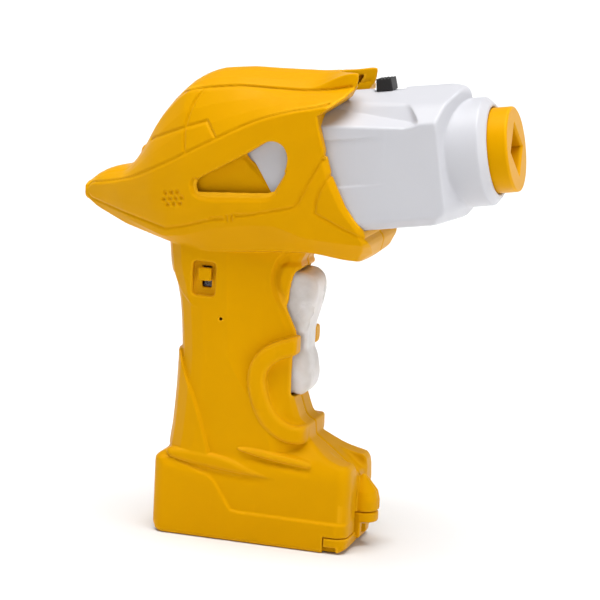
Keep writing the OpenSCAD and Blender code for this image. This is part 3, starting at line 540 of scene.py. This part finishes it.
def housing_forms(g):
    """Outside of the housing, and the space inside it."""
    head = g.distance_to(*ring_mesh(head_rings()), 6)
    front = to_line(g.x, g.z, RIM, keep=True)
    bevel = 0.5 + 1.2 * ease(g.z, 134.6, 133.8) + 1.8 * ease(g.z, 107, 101)
    trimmed = chamfered(head, front, bevel)
    handle = g.distance_to(*ring_mesh(handle_rings()), 6)
    handle = handle + handle_lines(g.x, g.z)
    body = union(handle, guard_form(g), 0.5)
    body = union(body, foot_form(g), 0.7) + ridge_coves(g.x, g.z)
    body = union(body, foot_ridges(g), 0.4)
    notch = np.maximum(20.6 - g.x, g.y - 2.4 - 0.97 * np.clip(g.x - 20.6, 0, 12))
    notch = np.maximum(notch, 150 - g.z)
    crown = cut(trimmed, notch, 0.5) + head_lines(g.x, g.z)
    outside = union(crown, body, 0.6)
    fin = np.hypot(np.hypot(g.x + 46.9, (g.z - 127.4) * 0.6), g.y * 0.9) - 1.9
    outside = union(outside, fin, 0.5)
    _, v = nose_axes(g)
    mouth = np.maximum(head + WALL, -v - 21.6)
    mouth = np.maximum(mouth, 2 - g.x)
    inside = np.minimum(head, np.minimum(handle, foot_form(g))) + WALL
    inside = np.maximum(inside, front + WALL)
    bay_roof = np.maximum(np.abs(g.z - 18.7) - 0.9, np.abs(g.x) - 33)
    inside = cut(inside, bay_roof)
    return outside, np.minimum(inside, mouth)


def housing_openings(g, field):
    """Window, rocker opening and door opening, the same in both halves."""
    pocket = to_outline(g.x, g.z, curve(WINDOW_FRONT).tolist() + WINDOW_REAR)
    through = to_outline(g.x, g.z, OPENING)
    floor = 18.8 + 0.03 * (g.x + 20) + 0.12 * (g.z - 126)
    backing = np.maximum(pocket - 2.2, np.abs(g.y - floor + 0.9) - 0.9)
    field = np.minimum(field, backing)
    sloped = floor - 0.8 * np.clip(2.2 - through, 0, 2.2)
    field = cut(field, np.maximum(pocket, sloped - g.y), 0.25)
    field = cut(field, np.maximum(np.maximum(through, pocket), 12 - g.y), 0.2)
    # The rocker's opening
    field = cut(field, block(g, (3, -9, 50.4), (22, 8.7, 94), 1.7), 0.4)
    # Room for the door's lid, its lip, and its ear with the ear's neck
    field = cut(field, block(g, (-34, -9, -3), (31.3, 15.4, 2.3)))
    field = cut(field, block(g, (26.8, -9, -3), (45, 21, 5.7)))
    field = cut(field, rod(g, 2, DOOR_SCREW, 5.8, 5, 12.6))
    field = cut(field, block(g, (34, -9, 5), (36.2, 5.8, 12.6)))
    # The battery bay, and the groove that the door's hinge turns in
    field = cut(field, block(g, (-32.9, -9, -3), (32.6, 14.9, 17.8), 1.6))
    return cut(field, rod(g, 1, HINGE, 1.9, -2, 15.4))


def mouth_lip(g, outside):
    """The thick rim of the mouth, which closes down to the nose."""
    u, v = nose_axes(g)
    front = to_line(g.x, g.z, RIM, keep=True)
    return np.maximum(np.maximum(outside, -3.6 - front), 0.2 - nose_block(u, g.y, v))


def screw_towers(g, field):
    """Solid posts for the housing screws, and one behind the rocker for its pin."""
    for x, z, _, reach in SCREWS:
        field = np.minimum(field, rod(g, 1, (x, z), TOWER_R, -2, reach))
    field = np.minimum(field, rod(g, 1, (3.5, 68.5), 2.6, 8.9, 11.4))
    return field


def build_housing():
    """The two halves of the housing, both modelled on the left side."""
    g = Grid((-70, -1.3, -1), (43, 25.3, 163), 0.42)
    outside, inside = housing_forms(g)
    seamed = outside + groove(g.y, 0.42, 0.42)
    shell = np.maximum(seamed, -inside)
    shell = np.minimum(shell, mouth_lip(g, seamed))
    # A plate behind the wall, for the floor of the power slider's well
    shell = np.minimum(shell, block(g, (-24.8, 11.6, 81.8), (-14.6, 13.6, 95.8)))
    shell = housing_openings(g, shell)
    shell = screw_towers(g, shell)
    shell = np.maximum(shell, -g.y)

    # The right half has the well, its slot and a pin-sized hole, the left half the screw heads
    well = to_outline(g.x, g.z, [(-22.2, 84.4), (-16.9, 84.4), (-16.9, 93.4), (-22.2, 93.4)]) - 1.3
    right = cut(shell, np.maximum(well, 12.8 - g.y), 0.7)
    right = cut(right, block(g, (-20.8, 4, 85.7), (-17.4, 18, 92.9)))
    right = cut(right, rod(g, 1, (-13, 75.8), 0.55, 11, 18), 0.3)
    left = shell
    for x, z, seat, _ in SCREWS:
        left = cut(left, rod(g, 1, (x, z), HEAD_R, seat, 30), 0.3)
        left = cut(left, rod(g, 1, (x, z), SHANK_R, -1, seat + 1))
        right = cut(right, rod(g, 1, (x, z), PILOT_R, -1, seat))
    return g, right, left


# ---------------------------------------------------------------- nose forms

NOSE_PLACE = Matrix.Translation(CHUCK_FACE) @ Matrix.Rotation(-NOSE_PITCH, 4, "Y")
COLLAR_R = 17.8
CHUCK_R = 14
FLANGE_R = 15.9
CHUCK_PLAY = 0.3
SOCKET = 5.9            # from the axis to the socket's flats
NOSE_SCREWS = [(-85, -15, 16.2), (-85, 15.4, 11.5)]     # ahead, above, the tower's reach


def face(a, b, c, *where):
    """Signed distance to the plane through three points, positive on the upper outer side."""
    normal = np.cross(np.subtract(b, a), np.subtract(c, a))
    return plane(normal * np.sign(normal[1] + normal[2]), a, *where)


def nose_dent(u, y, v):
    """The long sunk facet below the ridge: a ledge, a steep face above it and its far end."""
    tip, ridge, inner = (-50.1, 11.8, 17.5), (-30.8, 12.6, 18.7), (-28.2, 17, 12.65)
    rear, low, edge = (-57.8, 20.4, 14.3), (-31.9, 20.4, 11.4), (-26.4, 20.4, 12.3)
    facets = [(tip, ridge, inner), (tip, rear, low), (low, edge, inner)]
    depth = np.minimum.reduce([face(*corners, u, y, v) for corners in facets])
    return union(depth, face(ridge, edge, inner, u, y, v), 1.6)


def nose_block(u, y, v):
    """The nose's long body as flat faces met together, without the collar."""
    at = (u, y, v)
    side = plane((0, 1, 0), (0, 20.4, 0), *at) - 0.012 * np.clip(u + 34, -1e3, 0)
    roof = plane((0, 0.9, 1), (0, 20.4, 12.2), *at) - 0.1 * np.clip(-33 - u, 0, 40)
    deck = plane((0, 5, 12.2), (0, 12.6, 19.1), *at) + 0.02 * (u + 50)
    top = plane((0, 0, 1), (0, 0, 24.3), *at) + 0.025 * (u + 51)
    floor = plane((0, 0, -1), (0, 0, -21), *at)
    lower = plane((0, 1, -1.05), (0, 20.4, -18.2), *at)
    roof = meet(roof, nose_dent(*at), 0.3)
    body = meet(meet(side, roof, 0.8), meet(deck, top, 1.2), 0.8)
    return meet(body, meet(floor, lower, 1.0), 0.8)


def build_nose():
    """One half of the nose, on the nose's own axes: x ahead of the chuck's face, z above."""
    g = Grid((-97, -1.2, -22.5), (-4.5, 21.6, 26.5), 0.4)
    at = (g.x, g.y, g.z)
    body = nose_block(*at)
    front_cut = plane((20.4, 8, 0), (-21, 20.4, 0), *at)
    brow_cut = plane((1, 0.12, 1.55), (-14.4, 0, 21.6), *at)
    chin_cut = plane((1, 0.3, -1), (-19, 0, -20.8), *at)
    body = meet(body, front_cut, 0.8)
    body = meet(body, meet(brow_cut, chin_cut, 1.0), 1.6)

    # The shallow panel in the side, which fades out forwards
    panel = np.maximum(g.z - 9.5 + 0.012 * (g.x + 60), -6 + 0.01 * (g.x + 60) - g.z)
    body = body + 0.5 * ease(-panel, -0.2, 0.3) * ease(-g.x, 36, 52) * ease(g.y, 17, 19)

    reach = np.hypot(g.y, g.z)
    collar = chamfered(reach - COLLAR_R, g.x + 6.3, 2.6)
    collar = meet(collar, g.x + 6.3, 0.6)
    collar = np.maximum(collar, -g.x - 26)
    outside = union(body, collar, 0.5)
    outside = np.maximum(outside, -g.x - 96)
    taper = np.interp(g.x, (-96, -80, -68), (4.5, 1.6, 0))
    outside = np.maximum(outside, g.y - 20.3 + taper)

    inside = np.maximum(body + 1.9, g.x + 23.4)
    inside = np.maximum(inside, g.y - 18.4 + taper)
    shell = cut(outside + groove(g.y, 0.3, 0.4), inside)
    # The bore: behind the chuck, round its flange and round its body
    shell = cut(shell, rod(g, 0, (0, 0), 13.4, -30, -16.2))
    shell = cut(shell, rod(g, 0, (0, 0), FLANGE_R + CHUCK_PLAY, -16.4, -12.6))
    shell = cut(shell, rod(g, 0, (0, 0), CHUCK_R + CHUCK_PLAY, -13, 2), 0.5)
    # The mode slider's slot, and the shallow track round it
    shell = cut(shell, block(g, (-46, -2, 17), (-34.8, 1.7, 30)), 0.2)
    shell = cut(shell, block(g, (-44.9, -5, 22.7), (-34.6, 3.9, 30)), 0.2)
    for u, v, tower in NOSE_SCREWS:
        shell = np.minimum(shell, rod(g, 1, (u, v), 2.6, -2, tower))
        shell = cut(shell, rod(g, 1, (u, v), 1.2, -2, 8))
    return g, np.maximum(shell, -g.y)


# ---------------------------------------------------------------- small moving pieces

def build_chuck():
    """The chuck with its square socket, on the nose's own axes."""
    g = Grid((-21, -15, -15), (0.8, 15, 15), 0.3)
    reach = np.hypot(g.y, g.z)
    body = meet(reach - CHUCK_R, g.x, 0.9)
    body = np.maximum(body, -g.x - 12.2)
    flange = np.maximum(np.maximum(reach - FLANGE_R, g.x + 12.9), -g.x - 16)
    body = np.minimum(body, flange)
    side = (np.abs(g.y) + np.abs(g.z)) * math.sqrt(0.5) - SOCKET
    body = cut(body, np.maximum(side, -g.x - 9), 0.5)
    body = cut(body, np.maximum(side - 0.5 - 0.5 * g.x, -g.x - 0.6), 0.2)
    return g, cut(body, np.maximum(reach - 3.05, g.x + 9.6))


def lobe(g, outline, flat):
    """One button of the rocker: a side outline with a crowned, rounded width."""
    side = to_outline(g.x, g.z, outline)
    width = g.y - flat + 0.10 * np.clip(g.x - 12, 0, None) ** 1.5
    return meet(side, width, 2.6)


UPPER_LOBE = [(6.6, 73.4), (6.6, 92.2), (10.6, 93.2), (14.4, 92.7), (16.9, 90.6), (17.7, 87.4),
              (17.3, 83.4), (16.1, 78.6), (15, 74.8), (13.6, 71.6), (10, 71.4)]
LOWER_LOBE = [(6.6, 52), (6.6, 64.4), (10, 66.6), (13.4, 66.6), (15.2, 64.6), (16.2, 60.6),
              (16.7, 56.6), (16, 53.2), (13.8, 50.9), (11, 51)]


def build_rocker():
    """The rocker's two lobes and the bar behind them, as a left half."""
    g = Grid((0.8, -1, 47), (19, 10.4, 98), 0.3)
    upper = lobe(g, curve(UPPER_LOBE, closed=True, steps=4), 8.2 - 0.09 * np.clip(84 - g.z, 0, 14))
    narrow = np.clip(np.abs(g.z - 59.5) - 2, 0, 9)
    lower = lobe(g, curve(LOWER_LOBE, closed=True, steps=4), 8.1 - 0.16 * narrow)
    neck = block(g, (5, -9, 62), (14.7, 5.6, 76), 1.4)
    base = block(g, (1.6, -9, 50.6), (8.6, 7.9, 94.4), 0.8)
    return g, np.minimum(union(union(upper, lower, 0.6), neck, 0.8), base)


def build_mode_knob():
    """The ribbed slider on top of the nose, on the nose's own axes."""
    g = Grid((-45.5, -4.4, 15), (-37, 4.4, 28), 0.2)
    ahead = g.x + 41.4
    ribs = 0.35 * np.abs(np.sin(ahead * math.pi / 1.15))
    head = meet(block(g, (-44.3, -3.5, 22.8), (-38.5, 3.5, 27.6), 0.3),
                g.z - 27.1 + ribs, 0.1)
    lean = np.abs(ahead) - 2.75 + 0.08 * (g.z - 24)
    head = meet(head, lean, 0.3)
    stem = block(g, (-42.9, -1.3, 15.8), (-39.9, 1.3, 25))
    return g, np.minimum(head, stem)


def build_power_knob():
    """The plain slider in the handle's well."""
    g = Grid((-22.4, 6, 87.4), (-16.2, 16.4, 93.4), 0.2)
    head = block(g, (-21.6, 13.1, 88.2), (-17, 15.2, 92.6), 0.5)
    stem = block(g, (-20.5, 6.6, 89.2), (-18.1, 13.4, 91.6), 0.2)
    return g, union(head, stem, 0.3)


def build_door():
    """The battery door, its front lip, its screw ear and its hinge, as a left half."""
    g = Grid((-34, -0.9, -0.6), (43, 18.6, 13.4), 0.35)
    lid = block(g, (-31.2, -17, 0.3), (31.6, 15, 2.0), 0.3)
    lip = np.minimum(block(g, (31.4, -20, 0.3), (40, 20, 5.4)),
                     block(g, (27.1, -20, 2.3), (40, 20, 5.4)))
    side = to_outline(g.x, g.z, [(20, 0), (32, 0.3), (34.3, 1.5), (35.2, 4.2), (35.2, 8),
                                 (20, 8)])
    plan = np.hypot(np.clip(np.abs(g.x) - FOOT_STRAIGHT, 0, None),
                    np.clip(g.y - 12, 0, None)) - FOOT_CORNER
    lip = meet(lip, meet(side, plan, 1.2), 0.5)
    ear = rod(g, 2, DOOR_SCREW, 5, 8.8, 12.4, 0.5)
    neck = block(g, (33.4, -9, 3.6), (36.4, 5, 12.4), 0.4)
    hinge = rod(g, 1, HINGE, 1.4, -20, 14.8)
    body = union(union(lid, lip, 0.2), union(ear, neck, 0.4), 0.3)
    body = np.minimum(body, hinge)
    body = cut(body, block(g, (0, -9, 2.35), (31, 14.6, 20)))
    body = cut(body, rod(g, 2, DOOR_SCREW, SHANK_R, 0, 20))
    body = cut(body, rod(g, 2, DOOR_SCREW, 2.7, -1, 9.6), 0.2)
    return g, body


def mirrored(grid, field):
    """The same volume carried across y = 0, for a piece modelled as its left half."""
    keep = int(-grid.start[1])
    whole = np.concatenate([field[:, :keep:-1], field[:, keep:]], axis=1)
    twin = Grid((0, 0, 0), (0, 0, 0), grid.step)
    twin.start = grid.start.copy()
    twin.start[1] = -(grid.count[1] - 1 - keep)
    twin.count = np.array(whole.shape)
    return twin, whole


# ---------------------------------------------------------------- materials

class Finish:
    """A material being built. Its patterns lie in the piece's own metres."""

    def __init__(self, name, color, roughness, specular=0.5, metallic=0.0):
        self.material = bpy.data.materials.new(name)
        self.material.use_nodes = True
        self.tree = self.material.node_tree
        self.shader = self.tree.nodes["Principled BSDF"]
        self.shader.inputs["Specular IOR Level"].default_value = specular
        self.shader.inputs["Metallic"].default_value = metallic
        self.place = self.node("ShaderNodeTexCoord").outputs["Object"]
        self.color = (*color, 1)
        self.roughness = roughness
        self.height = None

    def node(self, kind, **inputs):
        made = self.tree.nodes.new(kind)
        for key, value in inputs.items():
            self.put(made.inputs[key.replace("_", " ")], value)
        return made

    def put(self, socket, value):
        if isinstance(value, bpy.types.NodeSocket):
            self.tree.links.new(value, socket)
        else:
            socket.default_value = value

    def noise(self, scale, detail=2.0, stretch=None):
        """Noise from 0 to 1 with scale bumps a metre, stretched along an axis if asked."""
        place = self.place
        if stretch is not None:
            place = self.node("ShaderNodeMapping", Vector=self.place, Scale=stretch).outputs[0]
        return self.node("ShaderNodeTexNoise", Vector=place, Scale=scale, Detail=detail).outputs[0]

    def spread(self, value, low, high, start=0.3, end=0.7):
        """value from start to end mapped to low to high."""
        made = self.node("ShaderNodeMapRange", Value=value)
        numbers = {"From Min": start, "From Max": end, "To Min": low, "To Max": high}
        for key, number in numbers.items():
            made.inputs[key].default_value = number
        return made.outputs[0]

    def math(self, kind, a, b):
        made = self.tree.nodes.new("ShaderNodeMath")
        made.operation = kind
        self.put(made.inputs[0], a)
        self.put(made.inputs[1], b)
        return made.outputs[0]

    def field(self, name, start, end, amount):
        """The piece's own edge or crease value, scaled to 0 to amount."""
        made = self.node("ShaderNodeAttribute")
        made.attribute_name = name
        return self.spread(made.outputs["Fac"], 0, amount, start, end)

    def tint(self, color, amount):
        """Mix color into what the material has so far."""
        made = self.node("ShaderNodeMix")
        made.data_type = "RGBA"
        self.put(made.inputs["Factor"], amount)
        self.put(made.inputs[6], self.color)
        self.put(made.inputs[7], (*color, 1))
        self.color = made.outputs[2]

    def rough(self, value, low, high):
        """Add low to high to the roughness as value goes from 0.3 to 0.7."""
        self.roughness = self.math("ADD", self.spread(value, low, high), self.roughness)

    def raise_by(self, value, amount):
        """Add value to the relief, amount millimetres high."""
        scaled = self.math("MULTIPLY", value, amount * MM)
        self.height = scaled if self.height is None else self.math("ADD", scaled, self.height)

    def glow(self, weight, radius, scale):
        """Light carried under the surface, with its reach in each colour."""
        self.shader.inputs["Subsurface Weight"].default_value = weight
        self.shader.inputs["Subsurface Radius"].default_value = radius
        self.shader.inputs["Subsurface Scale"].default_value = scale

    def done(self):
        self.put(self.shader.inputs["Base Color"], self.color)
        self.put(self.shader.inputs["Roughness"], self.roughness)
        if self.height is not None:
            bump = self.node("ShaderNodeBump", Height=self.height)
            bump.inputs["Distance"].default_value = 1
            self.put(self.shader.inputs["Normal"], bump.outputs[0])
        return self.material


def moulded(name, color, shade, pale, roughness, specular=0.35):
    """Moulded toy plastic: a faint drift of colour, orange peel, fine scuffs, painted highlight
    along its edges and painted shade in its creases and lines.
    """
    f = Finish(name, color, roughness, specular)
    f.tint(shade, f.spread(f.noise(22, 3), 0, 0.16))
    # Painted shade: the shade colour laid into creases and moulded lines, where shade falls
    f.tint(shade, f.field("crease", 0.12, 0.8, 0.75))
    # Painted highlight: the pale colour laid along convex edges
    f.tint(pale, f.field("edge", 0.12, 0.6, 0.45))
    scuffs = f.spread(f.noise(420, 4, stretch=(1, 1, 0.12)), 0, 1, 0.66, 0.74)
    f.tint(pale, f.math("MULTIPLY", scuffs, 0.05))
    f.rough(f.noise(55, 3), -0.04, 0.05)
    f.rough(scuffs, 0, 0.06)
    f.raise_by(f.noise(650, 2), 0.012)
    f.raise_by(f.noise(3200, 2), 0.003)
    return f


def yellow_plastic():
    # The second colour darkens its drift and is its painted shade in creases; the third is its
    # painted highlight on edges and the colour of its scuffs
    f = moulded("yellow_plastic", (0.645, 0.305, 0.0006), (0.40, 0.18, 0.0), (0.92, 0.47, 0.02),
                0.40, 0.13)
    f.shader.inputs["Specular Tint"].default_value = (1.0, 0.62, 0.04, 1)
    f.glow(0.05, (1.0, 0.45, 0.08), 0.0016)
    return f.done()


def white_plastic():
    # The second colour darkens its drift and is its painted shade in creases; the third is its
    # painted highlight on edges and the colour of its scuffs
    f = moulded("white_plastic", (0.53, 0.53, 0.56), (0.36, 0.37, 0.41), (0.66, 0.67, 0.69),
                0.36)
    f.glow(0.06, (1.0, 0.9, 0.8), 0.0016)
    return f.done()


def clear_white_plastic():
    """The rocker's milky plastic, faintly cloudy and warm where it is thin."""
    # The second colour darkens its drift and is its painted shade in creases; the third is its
    # painted highlight on edges and the colour of its scuffs
    f = moulded("clear_white_plastic", (0.545, 0.51, 0.485), (0.42, 0.35, 0.29), (0.66, 0.64, 0.62),
                0.30, 0.45)
    f.tint((0.82, 0.81, 0.82), f.spread(f.noise(160, 5), 0, 0.35, 0.4, 0.65))
    f.glow(0.35, (1.0, 0.72, 0.5), 0.004)
    return f.done()


def black_plastic():
    # The second colour darkens its drift and is its painted shade in creases; the third is its
    # painted highlight on edges and the colour of its scuffs
    return moulded("black_plastic", (0.013, 0.012, 0.0125), (0.006, 0.006, 0.006),
                   (0.03, 0.03, 0.031), 0.42, 0.25).done()


def bright_steel():
    """Plated steel with fine drawn lines and dull patches."""
    f = Finish("bright_steel", (0.55, 0.56, 0.58), 0.24, metallic=1.0)
    lines = f.noise(900, 3, stretch=(0.06, 1, 1))
    f.tint((0.36, 0.36, 0.37), f.spread(f.noise(70, 4), 0, 0.3))
    f.tint((0.75, 0.75, 0.76), f.spread(lines, 0, 0.2))
    f.rough(lines, -0.05, 0.09)
    f.raise_by(lines, 0.004)
    return f.done()


def natural_nylon():
    f = Finish("natural_nylon", (0.62, 0.58, 0.46), 0.42, 0.4)
    f.tint((0.47, 0.42, 0.30), f.spread(f.noise(60, 4), 0, 0.35))
    f.tint((0.75, 0.72, 0.63), f.spread(f.noise(700, 2), 0, 0.2))
    f.rough(f.noise(140, 3), -0.05, 0.08)
    f.raise_by(f.noise(1400, 3), 0.006)
    f.glow(0.15, (1.0, 0.85, 0.6), 0.002)
    return f.done()


def bronze():
    """Sintered bronze: open grain in a dull warm metal."""
    f = Finish("bronze", (0.50, 0.30, 0.11), 0.40, metallic=1.0)
    grain = f.noise(2600, 3)
    f.tint((0.20, 0.11, 0.05), f.spread(grain, 0.5, 0, 0.35, 0.5))
    f.rough(grain, 0.1, -0.06)
    f.raise_by(grain, 0.02)
    return f.done()


def silicone():
    f = Finish("silicone", (0.035, 0.038, 0.042), 0.62, 0.3)
    f.tint((0.09, 0.09, 0.095), f.spread(f.noise(300, 4), 0, 0.5))
    f.rough(f.noise(90, 2), -0.04, 0.08)
    f.raise_by(f.noise(1800, 3), 0.01)
    return f.done()


def board_green():
    """Solder mask over glass cloth, with copper runs showing lighter through it."""
    f = Finish("board_green", (0.010, 0.075, 0.030), 0.28, 0.5)
    runs = f.node("ShaderNodeTexWave", Vector=f.place, Scale=190, Distortion=3.0).outputs[1]
    weave = f.noise(2200, 1, stretch=(1, 0.25, 1))
    f.tint((0.03, 0.16, 0.06), f.spread(runs, 0, 0.8, 0.7, 0.8))
    f.tint((0.02, 0.11, 0.05), f.spread(weave, 0, 0.3))
    f.rough(weave, -0.03, 0.05)
    f.raise_by(f.spread(runs, 0, 1, 0.7, 0.8), 0.03)
    return f.done()


def cell_wrap():
    """Dark shrink film with a paler end band and a few wrinkles."""
    f = Finish("cell_wrap", (0.012, 0.014, 0.025), 0.22, 0.5)
    along_cell = f.node("ShaderNodeSeparateXYZ", Vector=f.place).outputs[0]
    f.tint((0.55, 0.30, 0.05), f.spread(along_cell, 0, 0.9, 0.0118, 0.0121))
    f.tint((0.04, 0.045, 0.06), f.spread(f.noise(240, 4), 0, 0.4))
    f.rough(f.noise(120, 3), -0.04, 0.10)
    f.raise_by(f.noise(180, 3, stretch=(0.3, 1, 1)), 0.06)
    return f.done()


def insulation(name, color, pale):
    f = Finish(name, color, 0.34, 0.45)
    f.tint(pale, f.spread(f.noise(260, 3), 0, 0.25))
    f.rough(f.noise(200, 2), -0.05, 0.07)
    f.raise_by(f.noise(900, 2), 0.012)
    return f.done()


FINISHES = {
    "yellow_plastic": yellow_plastic(),
    "white_plastic": white_plastic(),
    "clear_white_plastic": clear_white_plastic(),
    "black_plastic": black_plastic(),
    "bright_steel": bright_steel(),
    "natural_nylon": natural_nylon(),
    "bronze": bronze(),
    "silicone": silicone(),
    "board_green": board_green(),
    "cell_wrap": cell_wrap(),
    "lead_red": insulation("lead_red", (0.33, 0.012, 0.010), (0.50, 0.05, 0.04)),
    "lead_black": insulation("lead_black", (0.012, 0.012, 0.013), (0.05, 0.05, 0.05)),
}


# ---------------------------------------------------------------- pieces

housing_grid, housing_right, housing_left = build_housing()
add_piece(mesh_of("housing_right_shell", housing_grid, housing_right, mirror=True),
          "root", "yellow_plastic", "housing_right")
add_piece(mesh_of("housing_left_shell", housing_grid, housing_left),
          "root", "yellow_plastic", "housing_left")
nose_grid, nose = build_nose()
add_piece(mesh_of("nose_right_shell", nose_grid, nose, mirror=True, place=NOSE_PLACE),
          "root", "white_plastic", "nose_right")
add_piece(mesh_of("nose_left_shell", nose_grid, nose, place=NOSE_PLACE),
          "root", "white_plastic", "nose_left")
add_piece(mesh_of("chuck_body", *build_chuck(), place=NOSE_PLACE),
          "drive", "yellow_plastic", "chuck")
add_piece(mesh_of("rocker_body", *mirrored(*build_rocker())),
          "rocker", "clear_white_plastic", "rocker")
add_piece(mesh_of("mode_knob_body", *build_mode_knob(), place=NOSE_PLACE),
          "mode_slider", "black_plastic", "mode_knob")
add_piece(mesh_of("power_knob_body", *build_power_knob(), mirror=True),
          "power_slider", "yellow_plastic", "power_knob")
add_piece(mesh_of("battery_door_body", *mirrored(*build_door())),
          "door", "yellow_plastic", "battery_door")
for row in frame["record"]["subparts"]:
    node = frame["nodes"][row["node"]]
    node.data.materials.clear()
    node.data.materials.append(FINISHES[row["material_slot"]])


# ---------------------------------------------------------------- stage

SKY_LEVEL = 0.2
HORIZON_BAND = 0.1      # sine of the elevation up to which the backdrop is plain white

scene = bpy.context.scene
scene.view_settings.view_transform = "Standard"
world = bpy.data.worlds.new("studio")
scene.world = world
world.use_nodes = True
sky = world.node_tree
toward = sky.nodes.new("ShaderNodeTexCoord")
height = sky.nodes.new("ShaderNodeSeparateXYZ")
level = sky.nodes.new("ShaderNodeMapRange")
level.inputs["From Min"].default_value = HORIZON_BAND
level.inputs["From Max"].default_value = HORIZON_BAND + 0.2
level.inputs["To Min"].default_value = 1.0
level.inputs["To Max"].default_value = SKY_LEVEL
sky.links.new(toward.outputs["Generated"], height.inputs[0])
sky.links.new(height.outputs["Z"], level.inputs["Value"])
sky.links.new(level.outputs[0], sky.nodes["Background"].inputs["Strength"])
sky.nodes["Background"].inputs["Color"].default_value = (1, 1, 1, 1)


CAMERA_TURN = (16.64, 11.05, 2.81)      # azimuth, elevation and roll in degrees
CAMERA_AIM = (9.95, 0, 82.1)            # in mm
CAMERA_DISTANCE = 876.7                 # in mm
CAMERA_LENS = 156


def camera():
    """The photo's view."""
    azimuth, elevation, roll = (math.radians(a) for a in CAMERA_TURN)
    back = Vector((math.sin(azimuth) * math.cos(elevation),
                   -math.cos(azimuth) * math.cos(elevation), math.sin(elevation)))
    side = Vector((math.cos(azimuth), math.sin(azimuth), 0))
    up = back.cross(side)
    rolled_side = side * math.cos(roll) + up * math.sin(roll)
    rolled_up = up * math.cos(roll) - side * math.sin(roll)
    target = Vector(CAMERA_AIM) * MM
    data = bpy.data.cameras.new("camera")
    data.sensor_width = 36
    data.lens = CAMERA_LENS
    data.clip_end = 10
    view = bpy.data.objects.new("camera", data)
    place = Matrix((rolled_side, rolled_up, back)).transposed().to_4x4()
    place.translation = target + back * CAMERA_DISTANCE * MM
    view.matrix_world = place
    scene.collection.objects.link(view)
    scene.camera = view


camera()


def lamp(name, kind, place, aim, energy, spread):
    """A soft light: a sun with spread in degrees, or a square panel with spread in metres."""
    data = bpy.data.lights.new(name, kind)
    data.energy = energy
    if kind == "SUN":
        data.angle = math.radians(spread)
    else:
        data.size = spread
    light = bpy.data.objects.new(name, data)
    light.location = place
    light.rotation_euler = (Vector(aim) - Vector(place)).to_track_quat("-Z", "Y").to_euler()
    scene.collection.objects.link(light)


lamp("key", "SUN", (0.0, -0.12, 1), (0, 0, 0), 4.5, 55)
lamp("side", "AREA", (0.75, -0.2, 0.3), (0.02, 0, 0.1), 1.5, 0.4)

floor_mesh = bpy.data.meshes.new("floor")
floor_mesh.from_pydata([(-3, -3, 0), (3, -3, 0), (3, 3, 0), (-3, 3, 0)], [], [(0, 1, 2, 3)])
floor = bpy.data.objects.new("floor", floor_mesh)
paper = Finish("paper", (0.74, 0.74, 0.74), 0.9, 0.1)
paper.rough(paper.noise(30, 3), -0.05, 0.05)
floor_mesh.materials.append(paper.done())
scene.collection.objects.link(floor)
